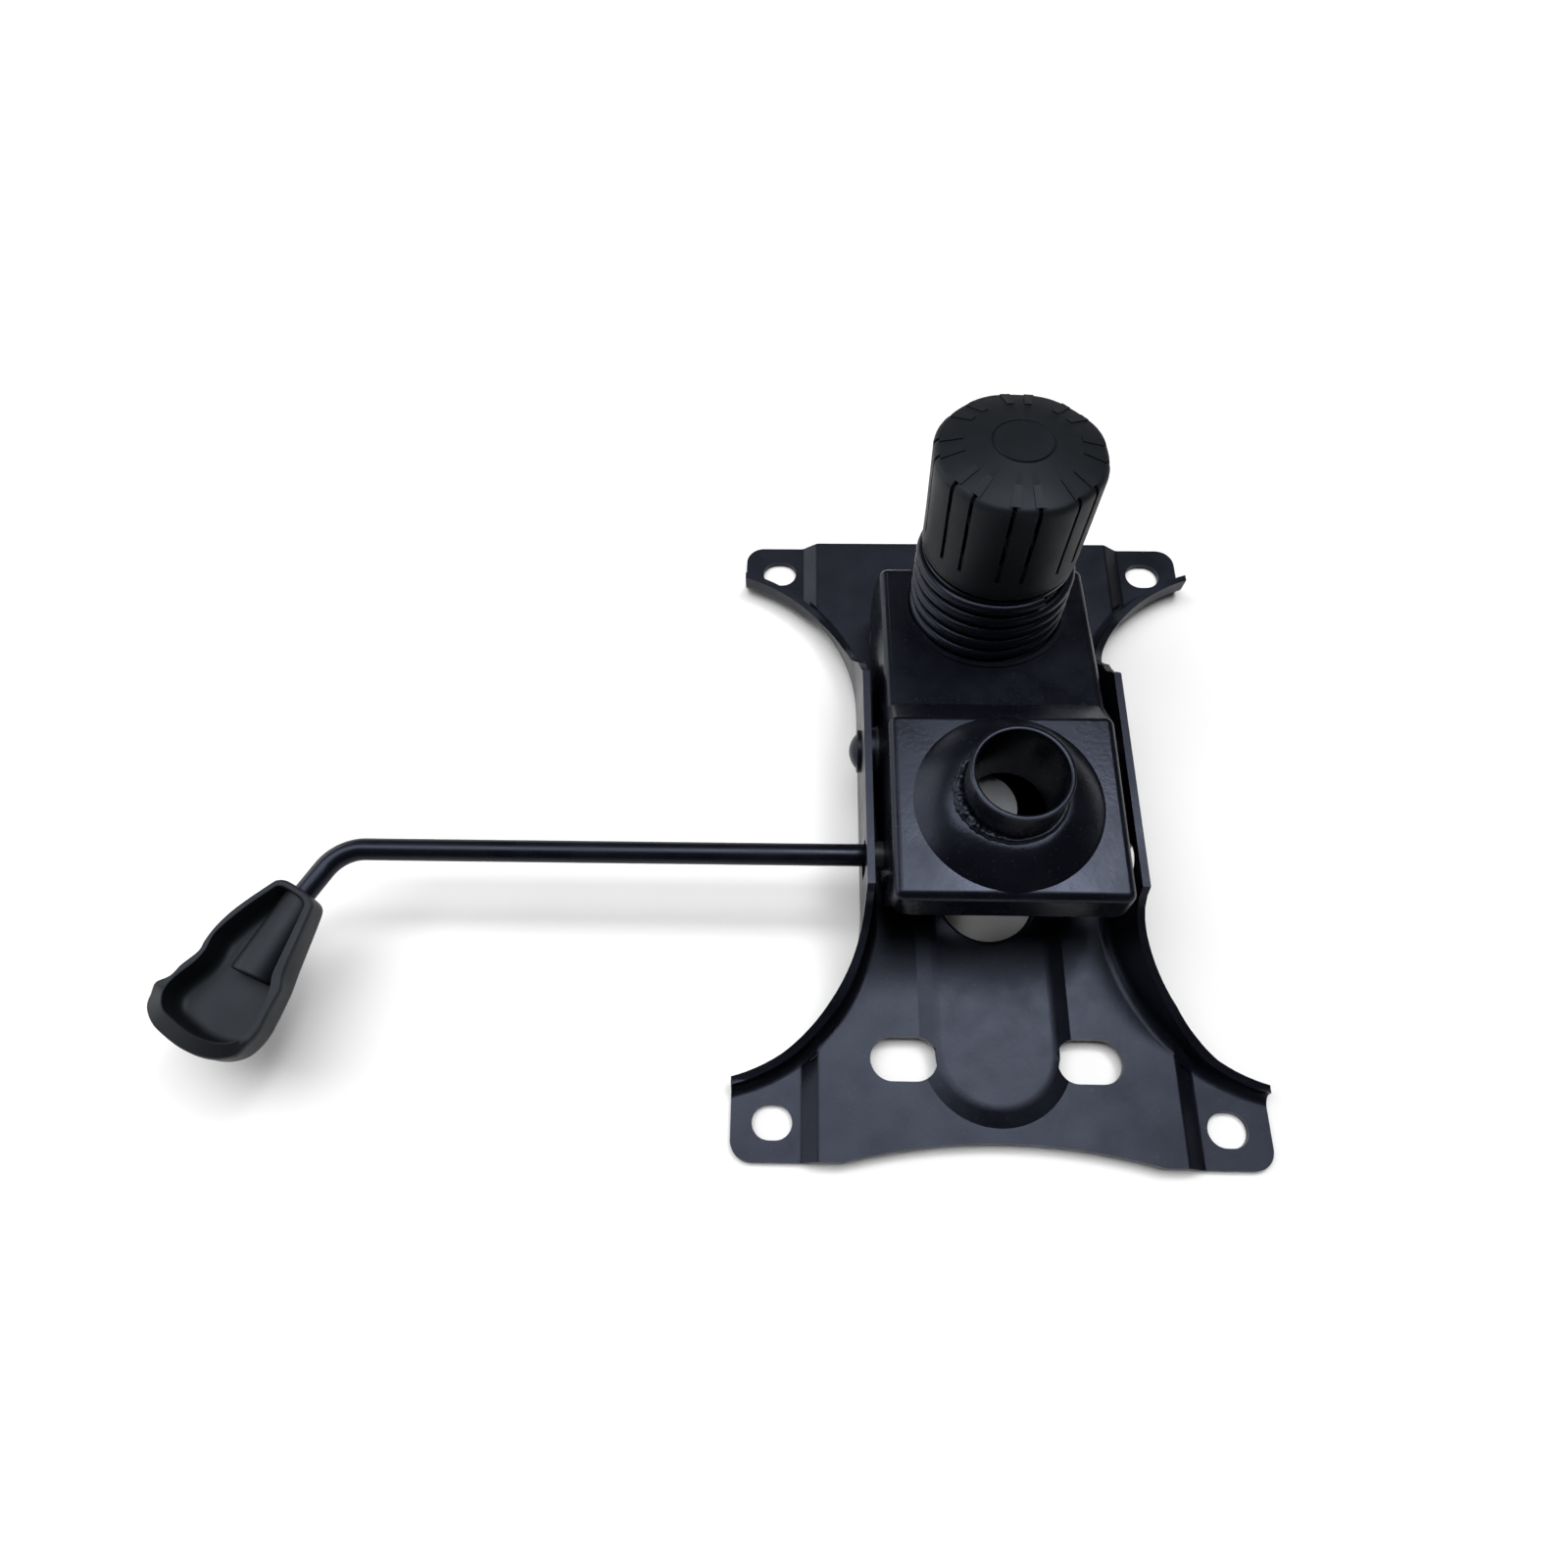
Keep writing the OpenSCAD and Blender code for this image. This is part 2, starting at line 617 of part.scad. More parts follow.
// Bracket inside the housing that steadies the rod
guide_x = -20.5;
guide_t = 2.5;
guide_r = 8;
module lever_guide() {
    color([0.07, 0.07, 0.08]) difference() {
        union() {
            translate([guide_x, rod_y - guide_r, rod_z]) cube([guide_t, 2*guide_r, brace_z - rod_z]);
            bar_x(guide_r, guide_x, guide_x + guide_t, rod_y, rod_z);
        }
        bar_x(rod_r + run_gap, guide_x - 1, guide_x + guide_t + 1, rod_y, rod_z);
    }
}

module pivot_tube() {
    color([0.07, 0.07, 0.08])
        ring_x(bush_out_r + 2, bush_out_r, -inner_x, inner_x, pivot_y, pivot_z);
}

module pivot_bushes() {
    color([0.75, 0.74, 0.7]) for (s = [0, 1]) mirror([s, 0, 0]) difference() {
        union() {
            bar_x(bush_out_r, house_x - 12, house_x + eps, pivot_y, pivot_z);
            bar_x(bush_out_r + 3, house_x, house_x + bush_flange_t, pivot_y, pivot_z);
        }
        bar_x(pin_r + run_gap, house_x - 20, house_x + 20, pivot_y, pivot_z);
    }
}

// Cup hung in the deck that the spring stands in; its floor lets the bolt wander
module spring_seat() {
    h0 = deck_h - cup_depth;
    far = bolt_shift(deck_h, tilt_max) + 0.6;
    color([0.3, 0.3, 0.31]) tension_axis() difference() {
        rotate_extrude() polygon([[0, h0], [cup_out, h0], [cup_out, deck_h],
            [cup_out + cup_lip, deck_h], [cup_out + cup_lip, deck_h + cup_t],
            [cup_in, deck_h + cup_t], [cup_in, spring_h0], [0, spring_h0]]);
        for (d = [-0.6, far]) translate([0, d, h0 - 1]) cylinder(r = bolt_r + 1, h = cup_depth);
        translate([-bolt_r - 1, -0.6, h0 - 1]) cube([bolt_d + 2, far + 0.6, cup_depth]);
    }
}

// Tension spring: one tube swept along a helix
curl_rings = 8;
wire_sides = 6;
coil_r = spring_r - wire_d/2;
coil_lift = spring_len - wire_d - 2*face_gap;
coil_steps = spring_turns*curl_rings;
coil_pitch = coil_lift/spring_turns;
coil_gap = coil_pitch*cos(atan(coil_pitch/(2*PI*coil_r))) - wire_d;
echo("least gap between the spring's turns, mm", coil_gap);
// Point k of the wire's wall at ring i
function coil_point(i, k) =
    let (a = i*360/curl_rings, b = k*360/wire_sides, lift = atan(coil_pitch/(2*PI*coil_r)),
        r = wire_d/2, out = r*cos(b), up = r*sin(b))
    [(coil_r + out)*cos(a) + up*sin(lift)*sin(a), (coil_r + out)*sin(a) - up*sin(lift)*cos(a),
        coil_lift*i/coil_steps + up*cos(lift)];
module tension_spring() {
    points = [for (i = [0:coil_steps]) for (k = [0:wire_sides - 1]) coil_point(i, k)];
    walls = [for (i = [0:coil_steps - 1]) for (k = [0:wire_sides - 1])
        let (m = (k + 1) % wire_sides, a = i*wire_sides, b = a + wire_sides)
        each [[a + k, b + m, a + m], [a + k, b + k, b + m]]];
    first = [for (k = [1:wire_sides - 2]) [0, k, k + 1]];
    z = coil_steps*wire_sides;
    last = [for (k = [1:wire_sides - 2]) [z, z + k + 1, z + k]];
    color([0.08, 0.08, 0.09]) tension_axis() translate([0, 0, spring_h0 + wire_d/2 + face_gap])
        rotate([0, 0, -60]) polyhedron(points, concat(walls, first, last));
}

// Sleeve that slides in the housing wall and carries the rod
bush_x0 = -flange_x + 0.6;
module lever_bush() {
    color([0.7, 0.7, 0.68]) ring_x(bush_r, rod_r + run_gap, bush_x0, bush_x0 + bush_len, rod_y, rod_z);
}

// Bent rod with the flattened disc that presses the gas spring's valve
blade_neck = 13;
bend_lap = 0.3;
module lever_rod() {
    color([0.05, 0.05, 0.06]) {
        bar_x(rod_r, -rod_reach - bend_lap, blade_x + blade_neck/2 - 1, rod_y, rod_z);
        translate([-rod_reach, rod_y - bend_r, rod_z]) rotate([0, 0, 90])
            rotate_extrude(angle = bend_a) translate([bend_r, 0]) circle(r = rod_r - run_gap);
        lever_arm() translate([0, 0, -bend_lap]) cylinder(r = rod_r, h = grip_start + rod_socket);
        translate([blade_x, blade_y, blade_z]) cylinder(r = blade_r, h = blade_t);
        translate([blade_x - blade_neck/2, rod_y - 1, blade_z]) cube([blade_neck, blade_y - rod_y, blade_t]);
    }
}

// Places children at the end of the rod's bend, lengths along +Z
module lever_arm() {
    translate([-rod_reach - bend_r*sin(bend_a), rod_y - bend_r*(1 - cos(bend_a)), rod_z])
        rotate([0, 0, bend_a]) rotate([0, -90, 0]) children();
}

// Handle: an open shell with finger waves, a boss inside holds the rod
rod_socket = 26;
grip_pts = 28;
neck_w = 13.5;
wave = 0.9;
// Half width of the handle at u along its length
function grip_half(u) =
    let (s = u/grip_len)
    neck_w/2 + (grip_w - neck_w)/2*sin(min(1, s/0.82)*90)
        + wave*sin(s*360*3.2)*min(1, max(0, (s - 0.3)/0.2))*(s < 0.85 ? 1 : 0);
// How much the blunt end draws the width in, at u
end_round = 0.24;
function end_half(u) =
    let (e = (u - grip_len*(1 - end_round))/(grip_len*end_round))
    e <= 0 ? 1 : pow(1 - pow(min(1, e), 3)*0.98, 1/3);
// The handle turns by this angle from the rod
grip_turn = 4;
function side_u(i) = grip_len*(1 - pow(1 - i/grip_pts, 1.6));
// Point i of one side of the outline, drawn in by inset
function side_point(i, side, inset) =
    let (u = side_u(i), w = max(0.5, grip_half(u)*end_half(u) - inset))
    [inset + u*(1 - 2*inset/grip_len), side*w - u*tan(grip_turn)];
function grip_outline(inset) = concat([for (i = [0:grip_pts]) side_point(i, 1, inset)],
    [for (i = [grip_pts:-1:0]) side_point(i, -1, inset)]);
// A solid between rings, each [height, inset]
module grip_loft(rings) {
    n = 2*(grip_pts + 1);
    pts = [for (r = rings) for (p = grip_outline(r[1])) [p[0], p[1], r[0]]];
    count = len(rings);
    sides = [for (j = [0:count - 2]) for (k = [0:n - 1])
        let (m = (k + 1) % n, a = j*n, b = a + n)
        each [[a + k, a + m, b + m], [a + k, b + m, b + k]]];
    low = [for (k = [0:n/2 - 2]) each [[k, n - 2 - k, k + 1], [k, n - 1 - k, n - 2 - k]]];
    z = (count - 1)*n;
    high = [for (k = [0:n/2 - 2]) each [[z + k, z + k + 1, z + n - 2 - k],
        [z + k, z + n - 2 - k, z + n - 1 - k]]];
    polyhedron(pts, concat(sides, low, high));
}

module lever_handle() {
    base = -grip_h/2;
    color([0.06, 0.06, 0.065]) lever_arm() translate([0, 0, grip_start]) rotate([0, -90, 180])
        difference() {
            union() {
                difference() {
                    grip_loft([[base, 4], [base + 0.8, 2], [base + 2.5, 0.6], [base + 5, 0], [-base, 0]]);
                    grip_loft([[base + grip_wall, grip_wall + 2.4], [base + grip_wall + 1.5, grip_wall + 0.6],
                        [base + 5, grip_wall], [-base + 1, grip_wall]]);
                }
                intersection() {
                    rotate([0, 90, 0]) cylinder(r1 = rod_r + 2, r2 = rod_r + 3.6, h = rod_socket + 2);
                    translate([0.5, -grip_w/2, base + 1]) cube([grip_len, grip_w, grip_h - 2]);
                    grip_loft([[base + 0.5, 1], [-base, 1]]);
                }
            }
            translate([-1, 0, 0]) rotate([0, 90, 0]) cylinder(r = rod_r + run_gap, h = rod_socket + 1);
        }
}

// Retaining clip on the rod, against the inner end of the bush
clip_x = bush_x0 + bush_len + face_gap;
module lever_clip() {
    color([0.5, 0.5, 0.52]) difference() {
        ring_x(rod_r + 3, rod_r, clip_x, clip_x + 1.2, rod_y, rod_z);
        translate([clip_x - 1, rod_y - 1.2, rod_z]) cube([4, 2.4, 20]);
    }
}

// Flanged disc on top of the spring; its collar centres the spring
cap_r = min(knob_r - 0.4, spring_r - 1);
collar_r = (spring_r - wire_d)*cos(180/curl_rings) - 0.3;
collar_h = 5;
module spring_cap() {
    color([0.25, 0.25, 0.26]) tension_axis() rotate_extrude()
        polygon([[bolt_r + 0.5, cap_h], [collar_r - cap_t, cap_h], [collar_r - cap_t, cap_h - collar_h],
            [collar_r, cap_h - collar_h], [collar_r, cap_h], [cap_r, cap_h],
            [cap_r, cap_h + cap_t], [bolt_r + 0.5, cap_h + cap_t]]);
}

module thrust_washer() {
    color([0.75, 0.74, 0.7]) tension_axis()
        ring_z(knob_r - 3, nut_af*0.62, cap_h + cap_t, cap_h + cap_t + washer_t);
}

// Tension knob: hollow, ribbed inside, with a boss for the nut and grip pads outside
knob_wall = 2.2;
boss_r = nut_af/2/cos(30) + 2.2;
pad_a = 17;
pad_start = -100.5;
groove_w = 1;
groove_d = 0.9;
module tension_knob() {
    color([0.06, 0.06, 0.065]) tension_axis() difference() {
        union() {
            difference() {
                rotate_extrude() polygon([[0, knob_h0], [knob_r - 0.6, knob_h0], [knob_r, knob_h0 + 0.6],
                    [knob_rim_r, knob_rim_h - 1], [knob_rim_r - 0.9, knob_rim_h + 0.4],
                    [12, knob_top_h - 0.4], [10, knob_top_h], [0, knob_top_h]]);
                rotate_extrude() polygon([[0, knob_h0 - 1], [knob_r - knob_wall, knob_h0 - 1],
                    [knob_rim_r - knob_wall, knob_rim_h - 3], [12, knob_top_h - 3.5], [0, knob_top_h - 3.5]]);
            }
            translate([0, 0, knob_h0 + 0.5]) cylinder(r = boss_r, h = knob_len + 1);
            intersection() {
                for (a = [0:60:179]) rotate([0, 0, a]) translate([-knob_r, -0.9, knob_h0 + 4])
                    cube([2*knob_r, 1.8, knob_len - 4]);
                translate([0, 0, knob_h0]) cylinder(r = knob_r - 1, h = knob_len);
            }
        }
        translate([0, 0, knob_h0 - 1]) cylinder(r = bolt_r + 0.5, h = bolt_end - knob_h0 + 6);
        translate([0, 0, knob_h0 - 1]) cylinder(d = (nut_af + 2*face_gap)/cos(30), h = nut_h + 1.6, $fn = 6);
        translate([0, 0, knob_top_h - 1.2]) cylinder(r = 9.6, h = 5);
        for (i = [0:grip_count - 1]) for (s = [-1, 1])
            rotate([0, 0, pad_start + i*360/grip_count + s*pad_a/2 + pad_a/2]) {
                translate([knob_r - groove_d, -groove_w/2, knob_h0 + 5]) cube([5, groove_w, knob_len + 2]);
                translate([knob_rim_r - 7, -groove_w/2, knob_rim_h + 1.5])
                    rotate([0, atan(knob_dome/(knob_rim_r - 10)), 0]) translate([0, 0, -0.3])
                    cube([9, groove_w, 4]);
            }
    }
}

module knob_nut() {
    color([0.6, 0.6, 0.62]) tension_axis() translate([0, 0, knob_h0 + 0.3]) difference() {
        cylinder(d = nut_af/cos(30), h = nut_h, $fn = 6);
        translate([0, 0, -1]) cylinder(r = bolt_r + run_gap, h = nut_h + 2);
    }
}

module knob_disc() {
    color([0.07, 0.07, 0.075]) tension_axis() translate([0, 0, knob_top_h - 1.2]) {
        cylinder(r = 9.2, h = 1);
        cylinder(r = 8.2, h = 1.3);
    }
}

seat_plate();
pivot_pin();
pivot_washers();
pivot_spacers();
bolt_anchor();
anchor_rivets();
tension_bolt();
rubber_stops();
tilt_housing();
lift_socket();
socket_weld();
inner_brace();
lever_guide();
pivot_tube();
pivot_bushes();
spring_seat();
tension_spring();
lever_bush();
lever_rod();
lever_handle();
lever_clip();
spring_cap();
thrust_washer();
tension_knob();
knob_nut();
knob_disc();
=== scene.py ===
"""Looks of an office chair tilt mechanism, laid out as an add-on and run as a script."""

import bpy
from math import atan2, cos, degrees, pi, radians, sin
from mathutils import Matrix, Vector
from mathutils.noise import noise as point_noise


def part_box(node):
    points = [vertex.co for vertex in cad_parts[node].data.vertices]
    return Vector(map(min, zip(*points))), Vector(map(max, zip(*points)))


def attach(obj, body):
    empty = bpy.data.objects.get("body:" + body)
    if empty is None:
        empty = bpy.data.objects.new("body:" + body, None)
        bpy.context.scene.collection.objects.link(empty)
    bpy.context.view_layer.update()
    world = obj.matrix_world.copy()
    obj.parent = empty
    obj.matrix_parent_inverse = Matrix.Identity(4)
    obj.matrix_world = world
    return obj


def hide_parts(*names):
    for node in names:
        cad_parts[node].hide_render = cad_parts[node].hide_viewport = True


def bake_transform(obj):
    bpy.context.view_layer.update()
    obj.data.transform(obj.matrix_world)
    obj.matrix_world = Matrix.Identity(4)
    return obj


bl_info = {
    "name": "Office chair tilt mechanism",
    "version": (1, 0, 0),
    "blender": (4, 5, 0),
    "location": "3D View > Sidebar > Tilt mechanism",
    "description": "Builds and finishes the pieces of an office chair tilt mechanism",
    "category": "Object",
}

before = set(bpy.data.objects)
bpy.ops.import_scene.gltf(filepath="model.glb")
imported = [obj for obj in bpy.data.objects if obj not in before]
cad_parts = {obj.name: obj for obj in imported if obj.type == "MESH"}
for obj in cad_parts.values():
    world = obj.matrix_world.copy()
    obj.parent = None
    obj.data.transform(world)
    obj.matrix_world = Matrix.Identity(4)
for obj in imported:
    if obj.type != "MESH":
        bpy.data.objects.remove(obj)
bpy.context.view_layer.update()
MM = 0.001

# The pressed plate's upper face, the face of its raised tongue and the housing's tray
PLATE_Z, TONGUE_Z, TRAY_Z = 6.5*MM, 8.3*MM, 57*MM
# The tension bolt's axis: a point on it in the spring cup, and its lean
LEAN = radians(7)
TENSION_FOOT = Vector((0, 66.4, 36))*MM
# Heights on that axis from the point: the spring's seat, and the knob's lower edge above
# coil, cap, washer and running gap
COIL_L = 39*MM
SEAT_H = -1.8*MM
KNOB_H = SEAT_H + COIL_L + (1 + 0.7 + 0.2)*MM
# The knob's grooves come in pairs: the first one's angle and the angle between the two of a
# pair, in degrees
GROOVE_START, GROOVE_PAIR = -100.5, 17
# The gas spring socket stands upright on x = 0 at this y, and its tube has this outer radius
SOCKET_Y, SOCKET_R = -16.8*MM, 16.1*MM
# The lever rod: its axis, its radius, its length to the bend, and the bend's radius and angle
ROD_Y, ROD_Z = -28*MM, 36.5*MM
ROD_R, ROD_REACH, ROD_BEND = 3.75*MM, 213*MM, 15*MM
ROD_TURN = radians(60)


# Settings
class PaintSettings(bpy.types.PropertyGroup):
    """The black coat on the steel pieces."""
    colour: bpy.props.FloatVectorProperty(name="Colour", description="Colour of the black coat",
        subtype="COLOR", size=3, min=0, max=1, default=(0.0021, 0.0024, 0.0042))
    worn: bpy.props.FloatVectorProperty(name="Worn colour", description="Colour of rubbed edges and specks",
        subtype="COLOR", size=3, min=0, max=1, default=(0.020, 0.022, 0.028))
    roughness: bpy.props.FloatProperty(name="Roughness", description="How dull the coat is",
        subtype="FACTOR", min=0, max=1, default=0.34)
    peel: bpy.props.FloatProperty(name="Orange peel size", description="Width of the coat's bumps",
        subtype="DISTANCE", unit="LENGTH", min=0.0002, max=0.01, default=0.0016)


class PlasticSettings(bpy.types.PropertyGroup):
    """The moulded plastic of the knob and handle."""
    colour: bpy.props.FloatVectorProperty(name="Colour", description="Colour of the moulded plastic",
        subtype="COLOR", size=3, min=0, max=1, default=(0.0042, 0.0050, 0.0062))
    roughness: bpy.props.FloatProperty(name="Roughness", description="How dull the plastic is",
        subtype="FACTOR", min=0, max=1, default=0.52)


class SpringSettings(bpy.types.PropertyGroup):
    """The tension spring."""
    wire: bpy.props.FloatProperty(name="Wire", description="Diameter of the spring's wire",
        subtype="DISTANCE", unit="LENGTH", min=0.003, max=0.005, default=0.0043)
    radius: bpy.props.FloatProperty(name="Outer radius", description="Outer radius of the coils",
        subtype="DISTANCE", unit="LENGTH", min=0.02, max=0.03, default=0.0275)
    length: bpy.props.FloatProperty(name="Length", description="Height of the spring along its axis",
        subtype="DISTANCE", unit="LENGTH", min=0.03, max=0.05, default=COIL_L)
    turns: bpy.props.IntProperty(name="Turns", description="Number of coils", min=3, max=9, default=6)


class KnobSettings(bpy.types.PropertyGroup):
    """The tension knob."""
    skirt: bpy.props.FloatProperty(name="Skirt radius", description="Outer radius at the skirt",
        subtype="DISTANCE", unit="LENGTH", min=0.02, max=0.03, default=0.0262)
    rim: bpy.props.FloatProperty(name="Rim radius", description="Outer radius at the upper rim",
        subtype="DISTANCE", unit="LENGTH", min=0.02, max=0.03, default=0.0274)
    pads: bpy.props.IntProperty(name="Grip pads", description="Number of grip pads", min=4, max=12, default=8)
    groove: bpy.props.FloatProperty(name="Groove depth", description="Depth of the grip grooves",
        subtype="DISTANCE", unit="LENGTH", min=0, max=0.002, default=0.0009)


class StageSettings(bpy.types.PropertyGroup):
    """The camera's place, turn and lens."""
    eye: bpy.props.FloatVectorProperty(name="Eye", description="Place of the camera",
        subtype="TRANSLATION", unit="LENGTH", size=3, default=(-0.07152, -0.15645, 0.3724))
    yaw: bpy.props.FloatProperty(name="Yaw", description="Turn of the view from +Y towards +X",
        subtype="ANGLE", unit="ROTATION", default=radians(-3.06))
    pitch: bpy.props.FloatProperty(name="Pitch", description="How far the view looks down",
        subtype="ANGLE", unit="ROTATION", default=radians(65.30))
    roll: bpy.props.FloatProperty(name="Roll", description="Roll of the view",
        subtype="ANGLE", unit="ROTATION", default=radians(-2.17))
    lens: bpy.props.FloatProperty(name="Lens", description="Focal length of the camera",
        subtype="DISTANCE_CAMERA", min=10, max=200, default=24.603)


# Tools that the operators share
def bare():
    """Leaves edit mode and selects nothing."""
    if bpy.context.object and bpy.context.object.mode != "OBJECT":
        bpy.ops.object.mode_set(mode="OBJECT")
    bpy.ops.object.select_all(action="DESELECT")


def only(piece):
    """Selects one piece and makes it active."""
    bare()
    piece.select_set(True)
    bpy.context.view_layer.objects.active = piece


def named(name):
    """Names the piece that an operator has just made."""
    piece = bpy.context.object
    piece.name = piece.data.name = name
    return piece


def edit(piece):
    """Edit mode with everything selected."""
    only(piece)
    bpy.ops.object.mode_set(mode="EDIT")
    bpy.ops.mesh.select_mode(type="VERT")
    bpy.ops.mesh.select_all(action="SELECT")


def done():
    bpy.ops.object.mode_set(mode="OBJECT")


def pick(piece, kind, wanted):
    """Edit mode in edge or face select, with only the wanted edges or faces selected."""
    points = piece.data.vertices
    for part in (*points, *piece.data.edges, *piece.data.polygons):
        part.select = False
    for part in wanted:
        part.select = True
        for i in part.vertices:
            points[i].select = True
    only(piece)
    bpy.context.tool_settings.mesh_select_mode = (False, kind == "EDGE", kind == "FACE")
    bpy.ops.object.mode_set(mode="EDIT")


def place(piece, matrix):
    """Moves a piece and bakes the move into its mesh."""
    bpy.context.view_layer.update()
    piece.matrix_world = matrix @ piece.matrix_world
    only(piece)
    bpy.ops.object.transform_apply(location=True, rotation=True, scale=True)


def tension_axis():
    """The move of a piece made upright at the origin onto the tension bolt's axis."""
    return Matrix.Translation(TENSION_FOOT) @ Matrix.Rotation(-LEAN, 4, "X")


def finish_mesh(piece, angle, merge=True):
    """Merges doubles, turns the normals outwards and shades smooth up to the angle."""
    edit(piece)
    if merge:
        bpy.ops.mesh.remove_doubles(threshold=2e-6)
    bpy.ops.mesh.normals_make_consistent(inside=False)
    done()
    only(piece)
    bpy.ops.object.shade_smooth_by_angle(angle=radians(angle))


def apply_all(piece):
    only(piece)
    for modifier in list(piece.modifiers):
        bpy.ops.object.modifier_apply(modifier=modifier.name)


def round_edges(piece, width, angle):
    """Rounds every edge sharper than the angle."""
    m = piece.modifiers.new("edge", "BEVEL")
    m.width = width
    m.segments = 2
    m.limit_method = "ANGLE"
    m.angle_limit = radians(angle)
    m.use_clamp_overlap = True
    m.miter_outer = "MITER_ARC"
    apply_all(piece)


def soften(piece, width, segments, chosen, angle=28, clamp=True):
    """Rounds the edges sharper than the angle whose two ends are both chosen."""
    edit(piece)
    bpy.ops.mesh.select_mode(type="EDGE")
    bpy.ops.mesh.select_all(action="DESELECT")
    bpy.ops.mesh.edges_select_sharp(sharpness=radians(angle))
    done()
    points = piece.data.vertices
    pick(piece, "EDGE", [edge for edge in piece.data.edges
        if edge.select and all(chosen(points[i].co) for i in edge.vertices)])
    bpy.ops.mesh.bevel(offset=width, segments=segments, affect="EDGES", clamp_overlap=clamp)
    done()


def weigh_normals(piece):
    """Lets large flat faces keep their own normal."""
    m = piece.modifiers.new("weigh", "WEIGHTED_NORMAL")
    m.mode = "FACE_AREA"
    m.weight = 50
    m.keep_sharp = True
    apply_all(piece)


def lathe(name, profile, steps):
    """Spins (radius, height) points, in metres, once round Z."""
    bare()
    bpy.ops.mesh.primitive_plane_add(size=0.01)
    piece = named(name)
    edit(piece)
    bpy.ops.mesh.merge(type="CENTER")
    done()
    piece.data.vertices[0].co = (profile[0][0], 0, profile[0][1])
    edit(piece)
    for (r0, z0), (r1, z1) in zip(profile, profile[1:]):
        bpy.ops.mesh.extrude_region_move(TRANSFORM_OT_translate={"value": (r1 - r0, 0, z1 - z0)})
    bpy.ops.mesh.select_all(action="SELECT")
    bpy.ops.mesh.spin(steps=steps, angle=2*pi, center=(0, 0, 0), axis=(0, 0, 1))
    bpy.ops.mesh.select_all(action="SELECT")
    bpy.ops.mesh.remove_doubles(threshold=2e-6)
    bpy.ops.mesh.normals_make_consistent(inside=False)
    done()
    return piece


def copy_of(node, name):
    """A merged copy of a CAD node's mesh, as a piece of its own."""
    only(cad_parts[node])
    bpy.ops.object.duplicate()
    piece = named(name)
    for key in list(piece.keys()):
        del piece[key]
    world = piece.matrix_world.copy()
    piece.parent = None
    piece.matrix_world = world
    piece.data.materials.clear()
    edit(piece)
    bpy.ops.mesh.remove_doubles(threshold=2e-6)
    bpy.ops.mesh.dissolve_limited(angle_limit=radians(0.6))
    done()
    return piece


def paint(piece, material):
    piece.data.materials.clear()
    piece.data.materials.append(material)


def dress(piece, material, body, *nodes, slot=None):
    """Gives a piece its material and body, and lets it stand for its CAD nodes; the slot is not used."""
    paint(piece, material)
    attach(piece, body)
    if nodes:
        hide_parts(*nodes)


# Materials
FINISH = {}


def new_material(name):
    """A new material with its nodes, links, shader and Object coordinates."""
    m = bpy.data.materials.new(name)
    m.use_nodes = True
    nodes, links = m.node_tree.nodes, m.node_tree.links
    shader = nodes["Principled BSDF"]
    coords = nodes.new("ShaderNodeTexCoord")
    return m, nodes, links, shader, coords.outputs["Object"]


def noise(nodes, links, coords, scale, detail, rough):
    n = nodes.new("ShaderNodeTexNoise")
    n.inputs["Scale"].default_value = scale
    n.inputs["Detail"].default_value = detail
    n.inputs["Roughness"].default_value = rough
    links.new(coords, n.inputs["Vector"])
    return n.outputs["Fac"]


def ramp(nodes, links, source, stops):
    """Colours or greys by a value, at two stops."""
    r = nodes.new("ShaderNodeValToRGB")
    for element, (position, colour) in zip(r.color_ramp.elements, stops):
        element.position = position
        element.color = (*colour, 1) if isinstance(colour, tuple) else (colour, colour, colour, 1)
    links.new(source, r.inputs["Fac"])
    return r.outputs["Color"]


def shade(colour, share):
    return tuple(share*c for c in colour)


def spread(nodes, links, source, low, high):
    """Maps the middle of a noise to a range."""
    r = nodes.new("ShaderNodeMapRange")
    r.inputs["From Min"].default_value, r.inputs["From Max"].default_value = 0.3, 0.7
    r.inputs["To Min"].default_value, r.inputs["To Max"].default_value = low, high
    links.new(source, r.inputs["Value"])
    return r.outputs["Result"]


def bump(nodes, links, height, strength, distance, below=None):
    b = nodes.new("ShaderNodeBump")
    b.inputs["Strength"].default_value = strength
    b.inputs["Distance"].default_value = distance
    links.new(height, b.inputs["Height"])
    if below:
        links.new(below, b.inputs["Normal"])
    return b.outputs["Normal"]


